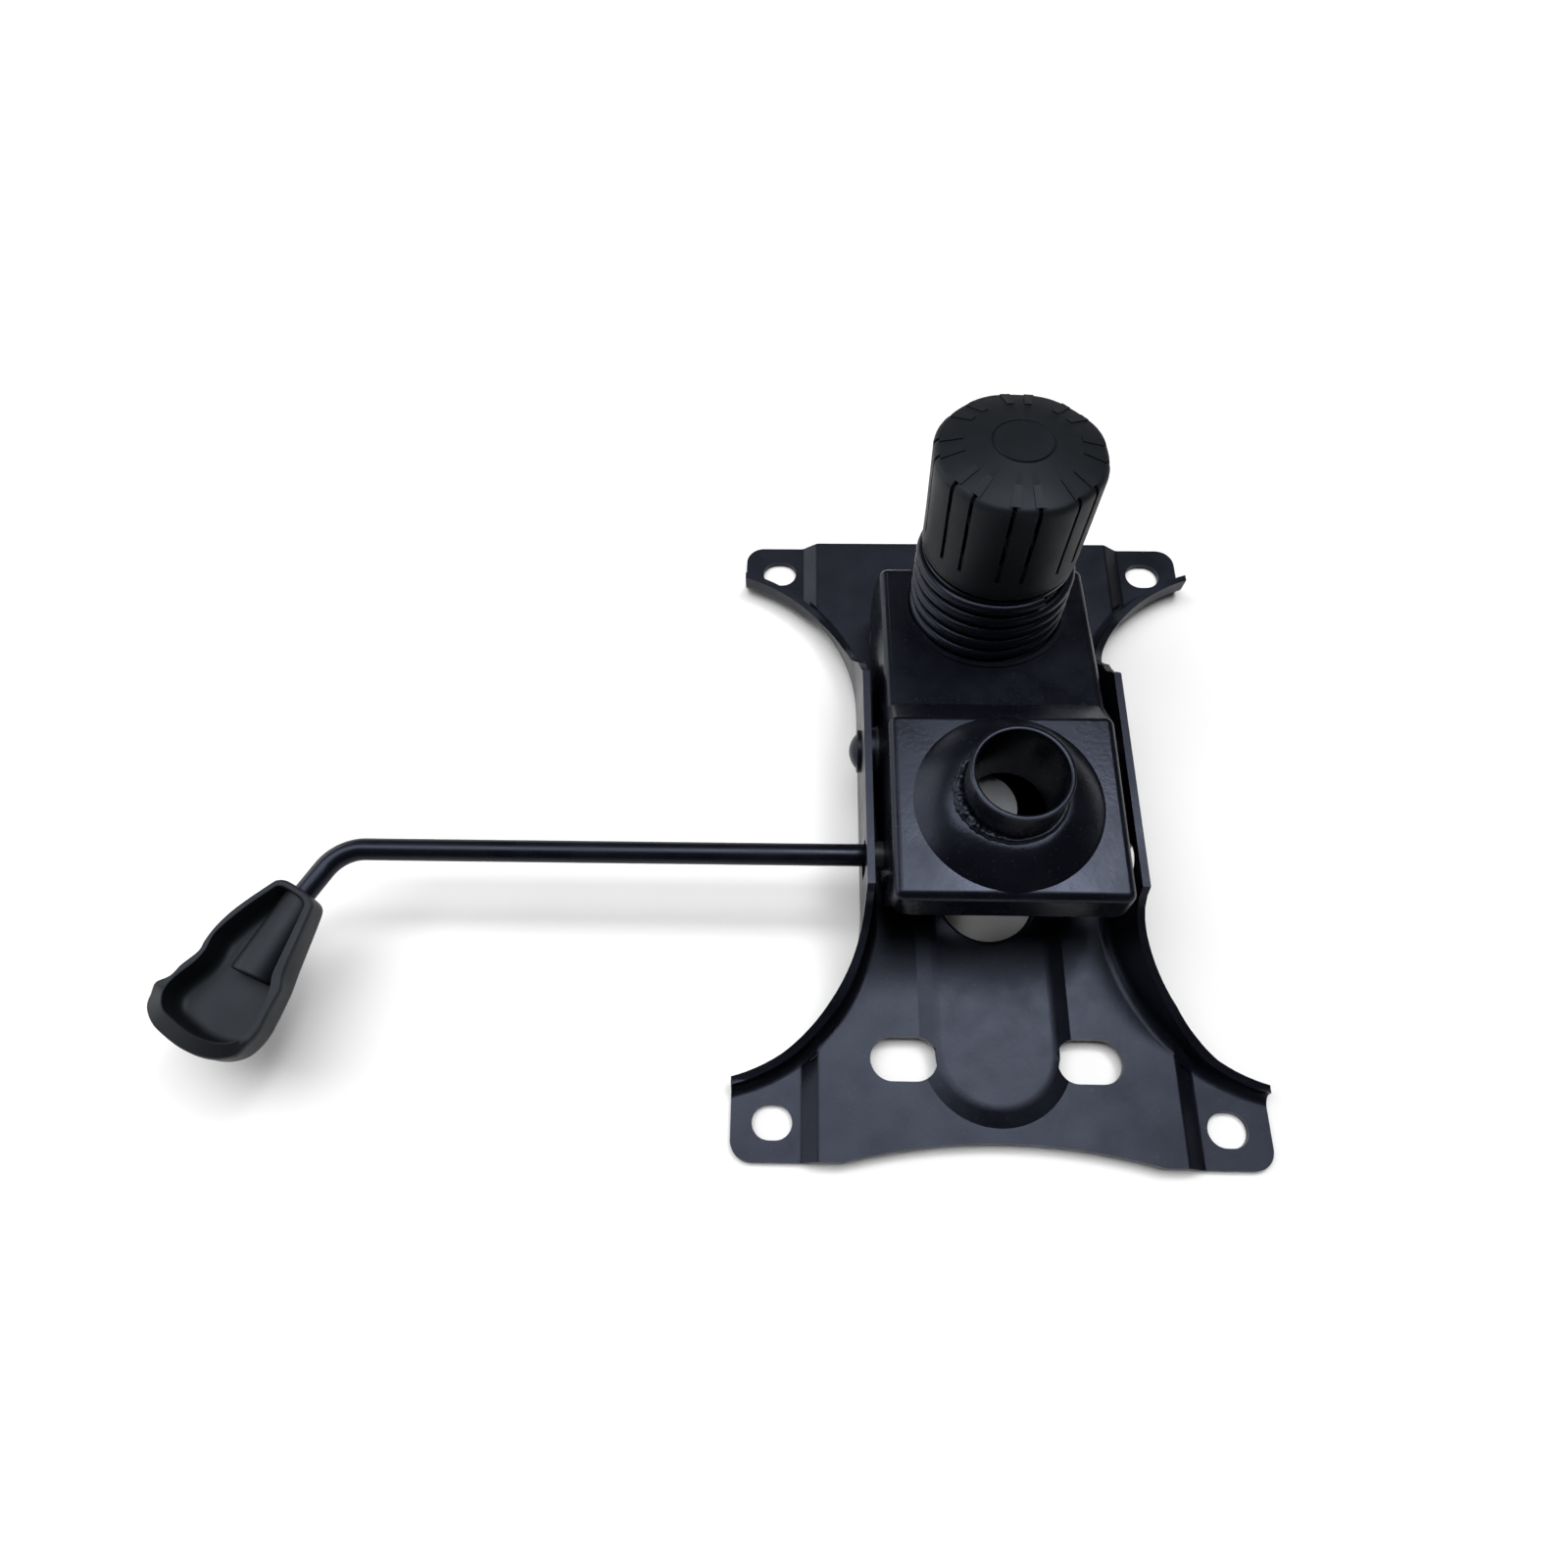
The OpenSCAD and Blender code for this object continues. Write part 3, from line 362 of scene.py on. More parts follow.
def black_coat(name, settings, rough, peel_depth, specks):
    """Satin powder coat: orange peel, cloudy gloss, pale specks and rubbed spots."""
    m, nodes, links, shader, coords = new_material(name)
    base, worn = tuple(settings.colour), tuple(settings.worn)
    cloud = noise(nodes, links, coords, 55, 4, 0.6)
    speck = noise(nodes, links, coords, 900, 2, 0.5)
    tint = ramp(nodes, links, cloud, [(0.3, shade(base, 0.8)), (0.7, shade(base, 1.25))])
    mask = ramp(nodes, links, speck, [(0.66, 0), (0.74, specks)])
    mix = nodes.new("ShaderNodeMix")
    mix.data_type = "RGBA"
    links.new(mask, mix.inputs["Factor"])
    links.new(tint, mix.inputs["A"])
    mix.inputs["B"].default_value = (*worn, 1)
    links.new(mix.outputs["Result"], shader.inputs["Base Color"])
    links.new(spread(nodes, links, cloud, rough - 0.07, rough + 0.08), shader.inputs["Roughness"])
    peel = noise(nodes, links, coords, 1/settings.peel, 2, 0.45)
    fine = noise(nodes, links, coords, 2600, 2, 0.5)
    normal = bump(nodes, links, peel, 1.0, peel_depth)
    links.new(bump(nodes, links, fine, 0.35, 0.00001, normal), shader.inputs["Normal"])
    shader.inputs["Specular IOR Level"].default_value = 0.22
    shader.inputs["Specular Tint"].default_value = (0.66, 0.74, 1.0, 1)
    return m


def moulded(name, colour, roughness, grain=0.00002, scale=1500, gloss=0.24):
    """Moulded plastic with a fine spark-eroded grain."""
    m, nodes, links, shader, coords = new_material(name)
    cloud = noise(nodes, links, coords, 40, 3, 0.6)
    tint = ramp(nodes, links, cloud, [(0.3, shade(colour, 0.88)), (0.7, shade(colour, 1.12))])
    links.new(tint, shader.inputs["Base Color"])
    links.new(spread(nodes, links, cloud, roughness - 0.05, roughness + 0.06), shader.inputs["Roughness"])
    skin = noise(nodes, links, coords, scale, 3, 0.6)
    links.new(bump(nodes, links, skin, 0.8, grain), shader.inputs["Normal"])
    shader.inputs["Specular IOR Level"].default_value = gloss
    shader.inputs["Specular Tint"].default_value = (0.78, 0.86, 1.0, 1)
    return m


def plated(name, colour, roughness):
    """Zinc-plated or bare steel with fine scratches."""
    m, nodes, links, shader, coords = new_material(name)
    shader.inputs["Metallic"].default_value = 1
    cloud = noise(nodes, links, coords, 120, 4, 0.6)
    tint = ramp(nodes, links, cloud, [(0.3, shade(colour, 0.75)), (0.7, colour)])
    links.new(tint, shader.inputs["Base Color"])
    links.new(spread(nodes, links, cloud, roughness - 0.08, roughness + 0.1), shader.inputs["Roughness"])
    scratch = noise(nodes, links, coords, 2200, 2, 0.5)
    links.new(bump(nodes, links, scratch, 0.4, 0.00001), shader.inputs["Normal"])
    return m


def finishes():
    """The materials, made once."""
    if "coat" not in FINISH:
        coat, plastic = bpy.context.scene.tilt_paint, bpy.context.scene.tilt_plastic
        FINISH["coat"] = black_coat("black_powder_coat", coat, coat.roughness, 0.00003, 0.5)
        FINISH["housing"] = black_coat("housing_powder_coat", coat, coat.roughness - 0.06, 0.00004, 0.5)
        FINISH["rod"] = black_coat("rod_black_coat", coat, coat.roughness - 0.04, 0.00001, 0.2)
        FINISH["wire"] = black_coat("spring_black_coat", coat, coat.roughness - 0.02, 0.00001, 0.2)
        FINISH["weld"] = black_coat("weld_coat", coat, coat.roughness, 0.00009, 0.8)
        FINISH["plastic"] = moulded("moulded_black_plastic", tuple(plastic.colour), plastic.roughness)
        FINISH["knob"] = moulded("knob_black_plastic", tuple(plastic.colour), plastic.roughness, gloss=0.16)
        # pale cream painted glint: the thin washer under the knob's skirt is painted pale for the glint along
        # its edge
        FINISH["washer_painted_glint"] = moulded("washer_painted_glint_pale", (0.62, 0.60, 0.54), 0.5)
        FINISH["rubber"] = moulded("black_rubber", (0.02, 0.02, 0.021), 0.75, 0.00003, 900)
        FINISH["zinc"] = plated("zinc_plate", (0.62, 0.62, 0.64), 0.34)
        # pale grey painted light on the lever's disc, for the light that falls down the socket's bore onto it
        FINISH["painted_light_disc"] = moulded("disc_painted_light_grey", (0.24, 0.245, 0.26), 0.42, 0.00008, 420)
        FINISH["dark_nylon"] = moulded("black_nylon", (0.012, 0.012, 0.013), 0.45)
        FINISH["dark_steel"] = plated("dark_steel", (0.16, 0.16, 0.17), 0.38)
    return FINISH


# The seat plate's ear ramp, in mm: where it starts and ends in the solid and in the finished
# piece, its rise, and the inner and outer radius of the flange's bend
RAMP_IN, RAMP_OUT, RISE = 60.2, 64.8, 4.0
SOFT_IN, SOFT_OUT = 58.9, 66.1
BEND_IN, BEND_OUT = 4.0, 6.5
# The plate's waist, in mm: the flange's x, and each arc's y and radius
WAIST_X = 45
FRONT_ARC, REAR_ARC = (40, 65), (-40, 58)


def ramp_change(x, y, z):
    """How far a point rises, in mm, so that the ramp has a straight middle and rounded ends."""
    if not SOFT_IN < x < SOFT_OUT:
        return 0
    slope = RISE/(SOFT_OUT - RAMP_IN)
    if x < RAMP_IN:
        soft = RISE - slope*(x - SOFT_IN)**2/(2*(RAMP_IN - SOFT_IN))
    elif x > RAMP_OUT:
        soft = slope*(SOFT_OUT - x)**2/(2*(SOFT_OUT - RAMP_OUT))
    else:
        soft = slope*((SOFT_OUT + RAMP_OUT)/2 - x)
    sharp = RISE*min(1, max(0, (RAMP_OUT - x)/(RAMP_OUT - RAMP_IN)))
    arc_y, arc_r = FRONT_ARC if y > 0 else REAR_ARC
    inset = ((x - WAIST_X - arc_r)**2 + (y - arc_y)**2)**0.5 - arc_r
    if inset > BEND_OUT - 0.01:
        # on the ramp itself, or at the end of the bend below it
        return soft - sharp if z > sharp - 0.2 else soft
    # the flange's bend, which stands at the lower level or a rise above it
    fits = []
    for base in (0, RISE):
        for r in (BEND_IN, BEND_OUT):
            if BEND_OUT - inset <= r + 0.05:
                drop = max(0, r*r - (BEND_OUT - inset)**2)**0.5
                fits.append((abs(base + BEND_OUT - drop - z), soft - base))
    miss, change = min(fits, default=(1, 0))
    return change if miss < 0.2 else 0


def at_level(point, z):
    return abs(point.z - z) < 0.02*MM


class TILT_OT_seat_plate(bpy.types.Operator):
    """Rounds the pressed seat plate's edges and gives it its coat"""
    bl_idname = "tilt.seat_plate"
    bl_label = "Seat plate"

    def execute(self, context):
        plate = copy_of("seat_plate", "pressed_seat_plate")
        # the upper edge of the raised tongue
        soften(plate, 1.5*MM, 4, lambda p: at_level(p, TONGUE_Z) and abs(p.x) < 27*MM, 10, False)
        # cuts across the plate give the rounded ends of the ramps their steps
        edit(plate)
        for side in (-1, 1):
            for cut in (SOFT_IN, (SOFT_IN + RAMP_IN)/2, (RAMP_OUT + SOFT_OUT)/2, SOFT_OUT):
                bpy.ops.mesh.select_all(action="SELECT")
                bpy.ops.mesh.bisect(plane_co=(side*cut*MM, 0, 0), plane_no=(1, 0, 0))
        done()
        for v in plate.data.vertices:
            v.co.z += ramp_change(abs(v.co.x)/MM, v.co.y/MM, v.co.z/MM)*MM
        round_edges(plate, 0.45*MM, 30)
        finish_mesh(plate, 32, merge=False)
        # the tongue's foot stays a crisp edge
        points = plate.data.vertices
        pick(plate, "EDGE", [edge for edge in plate.data.edges
            if all(at_level(points[i].co, PLATE_Z) and abs(points[i].co.x) < 25.8*MM for i in edge.vertices)])
        bpy.ops.mesh.mark_sharp()
        done()
        weigh_normals(plate)
        dress(plate, finishes()["coat"], "seat_frame", "seat_plate")
        return {"FINISHED"}


def on_cone(point):
    """Whether a point of the housing belongs to the cone round the socket."""
    return Vector((point.x, point.y - SOCKET_Y)).length < 30.9*MM and point.z > TRAY_Z - 4*MM


class TILT_OT_housing(bpy.types.Operator):
    """Rounds the drawn housing's edges and gives it its coat"""
    bl_idname = "tilt.housing"
    bl_label = "Tilt housing"

    def execute(self, context):
        shell = copy_of("tilt_housing", "drawn_tilt_housing")
        # the solid's cone makes room for a lathed one with a curved side
        points = shell.data.vertices
        pick(shell, "FACE", [face for face in shell.data.polygons
            if all(on_cone(points[i].co) for i in face.vertices)])
        bpy.ops.mesh.delete(type="FACE")
        done()
        soften(shell, 0.6*MM, 3, lambda p: not on_cone(p))
        finish_mesh(shell, 40, merge=False)
        weigh_normals(shell)
        dress(shell, finishes()["housing"], "housing", "tilt_housing")
        foot, top, rise = 30.6*MM, 17.9*MM, 8.1*MM
        bore, lip, under = 16.15*MM, foot + 0.4*MM, TRAY_Z - 2.4*MM
        side = [(foot + (top - foot)*i/20, TRAY_Z + rise*(1 - (1 - i/20)**1.5)) for i in range(21)]
        cone = lathe("drawn_cone", [
            (lip, TRAY_Z - 0.3*MM), *side, (bore, TRAY_Z + 8.2*MM), (bore, under), (foot - 2*MM, under),
            (lip, TRAY_Z - 0.8*MM), (lip, TRAY_Z - 0.3*MM)], 160)
        place(cone, Matrix.Translation((0, SOCKET_Y, 0)))
        finish_mesh(cone, 50)
        dress(cone, finishes()["housing"], "housing", slot="tilt_housing")
        return {"FINISHED"}


class TILT_OT_socket(bpy.types.Operator):
    """Turns the gas spring socket and lays its weld bead"""
    bl_idname = "tilt.socket"
    bl_label = "Gas spring socket"

    def execute(self, context):
        low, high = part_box("lift_socket")
        z0, z1 = low.z, high.z
        out, land, throat = SOCKET_R, 14.3*MM, 13.5*MM
        tube = lathe("gas_spring_socket", [
            (throat, z0), (out - 0.4*MM, z0), (out, z0 + 0.4*MM),
            (out, z1 - 0.8*MM), (out - 0.22*MM, z1 - 0.22*MM), (out - 0.8*MM, z1),
            (land + 0.5*MM, z1), (land + 0.1*MM, z1 - 0.2*MM), (land, z1 - 0.6*MM),
            (land, z1 - 8*MM), (throat, z0 + 3*MM), (throat, z0)], 128)
        place(tube, Matrix.Translation((0, SOCKET_Y, 0)))
        finish_mesh(tube, 40)
        dress(tube, finishes()["housing"], "housing", "lift_socket")
        ring, foot = out + 0.5*MM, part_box("socket_weld")[0].z
        bare()
        bpy.ops.mesh.primitive_torus_add(major_segments=300, minor_segments=20,
            major_radius=ring, minor_radius=1.3*MM, location=(0, SOCKET_Y, foot + 1.0*MM))
        bead = named("socket_weld_bead")
        for v in bead.data.vertices:
            a = atan2(v.co.y, v.co.x)
            spoke = Vector((cos(a), sin(a), 0))
            # the bead is fatter and rougher on its left
            left = max(0, cos(a - radians(200)))**1.5
            lumps = 0.6*point_noise(v.co*330) + 0.5*point_noise(v.co*900)
            grow = 1 + (0.10 + 0.75*left)*lumps + 0.6*left - 0.1
            v.co = spoke*(ring + 0.9*MM*left) + (v.co - spoke*ring)*grow
        place(bead, Matrix.Identity(4))
        finish_mesh(bead, 60)
        dress(bead, finishes()["weld"], "housing", "socket_weld")
        return {"FINISHED"}


class TILT_OT_spring(bpy.types.Operator):
    """Winds the tension spring and its end turns"""
    bl_idname = "tilt.spring"
    bl_label = "Tension spring"

    def execute(self, context):
        s = context.scene.tilt_spring
        r = s.wire/2
        bare()
        bpy.ops.mesh.primitive_circle_add(vertices=16, radius=r, fill_type="NGON",
            location=(s.radius - r, 0, 0), rotation=(pi/2, 0, 0))
        coil = named("tension_coil_spring")
        only(coil)
        bpy.ops.object.transform_apply(location=True, rotation=True, scale=True)
        m = coil.modifiers.new("wind", "SCREW")
        m.angle = 2*pi*s.turns
        m.screw_offset = s.length - s.wire - 0.2*MM
        m.steps = m.render_steps = 48*s.turns
        m.use_merge_vertices = False
        apply_all(coil)
        seated = Matrix.Translation((0, 0, SEAT_H + r + 0.1*MM)) @ Matrix.Rotation(radians(-60), 4, "Z")
        place(coil, tension_axis() @ seated)
        finish_mesh(coil, 50)
        paint(coil, finishes()["wire"])
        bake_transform(coil)
        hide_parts("tension_spring")
        return {"FINISHED"}


def round_axis(point):
    """A point's angle in degrees and its radius, round Z."""
    return degrees(atan2(point.y, point.x)), (point.x**2 + point.y**2)**0.5


class TILT_OT_knob(bpy.types.Operator):
    """Turns the knob and cuts its grip grooves"""
    bl_idname = "tilt.knob"
    bl_label = "Tension knob"

    def execute(self, context):
        k = context.scene.tilt_knob
        h0, rim_h, top_h = KNOB_H, KNOB_H + 39.5*MM, KNOB_H + 44*MM
        side = [(k.skirt + (k.rim - k.skirt)*i/10, h0 + 0.8*MM + (rim_h - h0 - 3*MM)*i/10) for i in range(11)]
        knob = lathe("tension_knob_shell", [
            (0, h0 + 0.6*MM), (k.skirt - 2.2*MM, h0 + 0.6*MM), (k.skirt - 2*MM, h0), (k.skirt - 0.5*MM, h0),
            *side, (k.rim - 0.15*MM, rim_h - 1.0*MM), (k.rim - 0.6*MM, rim_h),
            (k.rim - 1.5*MM, rim_h + 0.65*MM), (k.rim - 2.2*MM, rim_h + 0.9*MM), (k.rim - 9*MM, rim_h + 2.8*MM),
            (12*MM, top_h - 0.9*MM), (9.9*MM, top_h - 0.5*MM), (9.6*MM, top_h - 0.9*MM),
            (9.3*MM, top_h - 0.9*MM), (9.0*MM, top_h - 0.35*MM), (0, top_h - 0.1*MM)], 360)
        pitch = 360/k.pads
        grooves = [GROOVE_START + i*pitch + turn for i in range(k.pads) for turn in (0, GROOVE_PAIR)]

        def near_groove(angle, reach):
            return any(abs((angle - groove + 180) % 360 - 180) < reach for groove in grooves)

        def in_groove(point):
            angle, radius = round_axis(point)
            on_side = point.z > h0 + 8*MM and radius > k.skirt - 0.3*MM
            on_edge = point.z > rim_h - 3*MM and radius > k.rim - 1.4*MM
            return near_groove(angle, 1.01) and (on_side or on_edge)

        def in_rib(point):
            angle, radius = round_axis(point)
            return near_groove(angle, 3.6) and point.z > rim_h and k.rim - 9.2*MM < radius < k.rim - 1.7*MM

        pick(knob, "FACE", [face for face in knob.data.polygons if in_groove(face.center)])
        bpy.ops.mesh.extrude_region_shrink_fatten(TRANSFORM_OT_shrink_fatten={"value": -k.groove})
        done()
        # low ribs on the top, in line with the grooves; the grooves' own edges are still selected
        # here and rise with them
        for face in knob.data.polygons:
            face.select = in_rib(face.center)
        only(knob)
        bpy.ops.object.mode_set(mode="EDIT")
        bpy.ops.mesh.extrude_region_move(TRANSFORM_OT_translate={"value": (0, 0, 0.4*MM)})
        done()
        # the pads bulge between the pairs of grooves, more towards the rim
        foot, core = h0 + 1.0*MM, 17*MM
        for v in knob.data.vertices:
            angle, radius = round_axis(v.co)
            if radius > core and v.co.z > foot:
                lobe = ((angle - GROOVE_START - GROOVE_PAIR) % pitch)/(pitch - GROOVE_PAIR)
                share = min(1, (v.co.z - foot)/(12*MM))*min(1, (radius - core)/(7*MM))
                bulge = sin(pi*lobe)**0.6 if 0 < lobe < 1 else 0
                grow = 1 + (0.45*bulge - 0.35)*MM*share/radius
                v.co.x *= grow
                v.co.y *= grow
        place(knob, tension_axis())
        finish_mesh(knob, 38)
        dress(knob, finishes()["knob"], "knob", "tension_knob", "knob_disc")
        return {"FINISHED"}


class TILT_OT_lever_rod(bpy.types.Operator):
    """Draws, bends and flattens the lever rod"""
    bl_idname = "tilt.lever_rod"
    bl_label = "Lever rod"

    def execute(self, context):
        # the rod from its inner end out, round the bend and along its arm into the handle
        inner, arm = 0.5*MM, 36*MM
        bare()
        bpy.ops.mesh.primitive_circle_add(vertices=48, radius=ROD_R, fill_type="NGON",
            location=(-inner, ROD_Y, ROD_Z), rotation=(0, pi/2, 0))
        rod = named("lever_bent_rod")
        only(rod)
        bpy.ops.object.transform_apply(location=True, rotation=True, scale=True)
        edit(rod)
        bpy.ops.mesh.extrude_region_move(TRANSFORM_OT_translate={"value": (inner - ROD_REACH, 0, 0)})
        bpy.ops.mesh.spin(steps=24, angle=-ROD_TURN, axis=(0, 0, 1),
            center=(-ROD_REACH, ROD_Y - ROD_BEND, ROD_Z))
        bpy.ops.mesh.extrude_region_move(TRANSFORM_OT_translate={
            "value": (-arm*cos(ROD_TURN), -arm*sin(ROD_TURN), 0)})
        done()
        # the flattened end: a disc over the gas spring's valve, and the neck that joins it to the rod
        flat_x, flat_z, thick = -6*MM, ROD_Z + 4.5*MM, 3*MM
        bare()
        bpy.ops.mesh.primitive_cylinder_add(vertices=72, radius=12*MM, depth=thick,
            location=(flat_x, SOCKET_Y + 4.8*MM, flat_z))
        disc = named("lever_disc")
        place(disc, Matrix.Identity(4))
        bare()
        bpy.ops.mesh.primitive_cube_add(size=1, location=(flat_x, -20.5*MM, flat_z))
        neck = named("lever_disc_neck")
        neck.scale = (13*MM, 17*MM, thick)
        place(neck, Matrix.Identity(4))
        bare()
        for piece in (neck, disc):
            piece.select_set(True)
        bpy.context.view_layer.objects.active = disc
        bpy.ops.object.join()
        # the disc's pale grey is painted light, for the light falling down the socket's bore; the rod keeps its
        # black coat
        for piece, kind in ((disc, "painted_light_disc"), (rod, "rod")):
            round_edges(piece, 0.5*MM, 50)
            finish_mesh(piece, 40)
            dress(piece, finishes()[kind], "lever", slot="lever_rod")
        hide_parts("lever_rod")
        return {"FINISHED"}


# The handle's outlines, in mm from the neck: u towards the free end, v to the left of it
RIM = [
    (-0.6, 0), (-0.4, 4.6), (0.8, 7.2), (3.2, 8.6), (14.7, 12.6), (22.5, 14.0), (28.5, 13.8), (32.2, 13.1),
    (38.3, 14.7), (42.7, 15.2), (47.4, 17.9), (53.5, 16.5), (57.0, 11.4), (58.1, 5.0), (58.3, -2),
    (57.4, -8.5), (55.2, -14.2), (51.7, -18.4), (46.8, -20.6), (41.5, -21.0), (36.5, -19.8), (32.4, -19.0),
    (28.0, -18.0), (24.4, -15.7), (19.9, -14.0), (4.4, -9.3), (0.9, -7.4), (-0.4, -4.6)]
FOOT = [
    (-0.6, 0), (-0.4, 4.2), (0.8, 6.6), (3.2, 8.0), (14.7, 12.0), (22.5, 13.6), (28.5, 14.0), (32.2, 14.2),
    (38.3, 14.6), (42.7, 15.0), (47.2, 17.2), (52.8, 16.0), (56.4, 11.2), (57.4, 5.0), (57.6, -2),
    (56.8, -8.5), (54.6, -14.2), (51.2, -18.0), (46.8, -19.8), (41.5, -20.0), (36.5, -19.0), (32.4, -18.0),
    (28.0, -16.8), (24.4, -15.5), (19.9, -13.8), (6.0, -9.0), (0.9, -6.8), (-0.4, -4.2)]
WELL = [
    (1.7, 0), (1.9, 3.8), (2.8, 5.8), (4.8, 6.8), (14.0, 10.0), (22.5, 12.0), (26.5, 12.2), (31.0, 11.1),
    (35.5, 11.3), (42.0, 13.1), (46.5, 13.4), (49.6, 11.8), (51.6, 9.0), (52.4, 4.0), (52.8, -2),
    (52.4, -7.0), (51.0, -12.0), (48.4, -16.2), (45.1, -18.2), (41.0, -18.8), (36.5, -17.6), (33.4, -16.6),
    (29.5, -15.0), (26.0, -12.8), (20.9, -11.2), (5.4, -6.9), (2.8, -5.6), (1.9, -3.8)]
# The handle's wall from its closed face round the rim down into the hollow: outline, how far it
# is drawn in, and height, in mm
HANDLE_RINGS = (
    ("FOOT", 3.4, -6.5), ("FOOT", 1.4, -6.2), ("FOOT", 0.4, -5.3), ("FOOT", 0, -3.8), ("FOOT", 0, 1.0),
    ("RIM", 0, 4.2), ("RIM", 0.05, 5.6), ("RIM", 0.3, 6.25), ("RIM", 0.8, 6.5),
    ("WELL", -0.45, 6.5), ("WELL", -0.1, 6.3), ("WELL", 0.1, 5.7), ("WELL", 0.5, 0), ("WELL", 0.9, -2.4),
    ("WELL", 1.8, -3.5), ("WELL", 3.4, -3.9))


def smooth_loop(points, each=4):
    """A closed smooth curve through the points, with so many steps from each to the next."""
    n, out = len(points), []
    for i in range(n):
        p0, p1, p2, p3 = (Vector(points[(i + k) % n]) for k in (-1, 0, 1, 2))
        for j in range(each):
            t = j/each
            out.append(0.5*(2*p1 + (p2 - p0)*t + (2*p0 - 5*p1 + 4*p2 - p3)*t*t + (3*p1 - p0 - 3*p2 + p3)*t**3))
    return out


def drawn_in(points, inset):
    """The closed curve moved inwards by inset."""
    n, out = len(points), []
    for i in range(n):
        along = (points[(i + 1) % n] - points[i - 1]).normalized()
        out.append(points[i] + Vector((along.y, -along.x))*inset)
    return out


class TILT_OT_handle(bpy.types.Operator):
    """Moulds the hollow paddle on the lever"""
    bl_idname = "tilt.handle"
    bl_label = "Lever handle"

    def execute(self, context):
        loops = {"FOOT": smooth_loop(FOOT), "RIM": smooth_loop(RIM), "WELL": smooth_loop(WELL)}
        count = len(loops["RIM"])
        bare()
        bpy.ops.mesh.primitive_circle_add(vertices=count, radius=0.02, fill_type="NGON")
        grip = named("lever_paddle_handle")
        edit(grip)
        for _ in HANDLE_RINGS[1:]:
            bpy.ops.mesh.extrude_region_move(TRANSFORM_OT_translate={"value": (0, 0, 0.001)})
        done()
        for v in grip.data.vertices:
            ring, step = divmod(v.index, count)
            kind, inset, z = HANDLE_RINGS[ring]
            point = drawn_in(loops[kind], inset)[step]
            # the rim dips towards the free end
            dip = min(1, max(0, (point.x - 46)/5))
            drop = 2.4*dip*dip*(3 - 2*dip) if kind == "RIM" else 0
            v.co = Vector((point.x, point.y, z - drop))*MM
        finish_mesh(grip, 38)
        bare()
        bpy.ops.mesh.primitive_cone_add(vertices=64, radius1=5.4*MM, radius2=7.3*MM, depth=30*MM,
            location=(15.5*MM, 0, 0), rotation=(0, pi/2, 0))
        boss = named("lever_handle_boss")
        edit(boss)
        bpy.ops.mesh.bevel(offset=1.1*MM, segments=4, affect="EDGES")
        done()
        only(boss)
        bpy.ops.object.transform_apply(location=True, rotation=True, scale=True)
        for v in boss.data.vertices:
            v.co.z *= 0.84
        place(boss, Matrix.Rotation(radians(-7.5), 4, "Z"))
        finish_mesh(boss, 38)
        # from the outlines' plane onto the rod, a short way past its bend
        past = 10*MM
        neck = Vector((-ROD_REACH - ROD_BEND*sin(ROD_TURN) - past*cos(ROD_TURN),
            ROD_Y - ROD_BEND*(1 - cos(ROD_TURN)) - past*sin(ROD_TURN), ROD_Z))
        mirror = Matrix.Scale(-1, 4, (0, 1, 0))
        onto_rod = Matrix.Translation(neck) @ Matrix.Rotation(pi + ROD_TURN, 4, "Z") @ mirror
        for piece in (grip, boss):
            place(piece, onto_rod)
            finish_mesh(piece, 38)
            dress(piece, finishes()["plastic"], "lever", slot="lever_handle")
        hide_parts("lever_handle")
        return {"FINISHED"}


class TILT_OT_small_pieces(bpy.types.Operator):
    """Gives the pieces that keep their CAD shape their finishes"""
    bl_idname = "tilt.small_pieces"
    bl_label = "Small pieces"

    def execute(self, context):
        wear = {
            "pivot_pin": "coat", "pivot_washers": "coat", "pivot_spacers": "coat", "bolt_anchor": "coat",
            "anchor_rivets": "coat", "tension_bolt": "zinc", "rubber_stops": "rubber", "inner_brace": "coat",
            "lever_guide": "coat", "pivot_tube": "coat", "pivot_bushes": "dark_nylon", "spring_seat": "coat",
            "lever_bush": "dark_nylon", "lever_clip": "dark_steel", "spring_cap": "coat",
            # the thrust washer's pale colour is a painted glint along its edge
            "thrust_washer": "washer_painted_glint", "knob_nut": "zinc"}
        for node, kind in wear.items():
            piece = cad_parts[node]
            paint(piece, finishes()[kind])
            only(piece)
            bpy.ops.object.shade_smooth_by_angle(angle=radians(35))
        return {"FINISHED"}


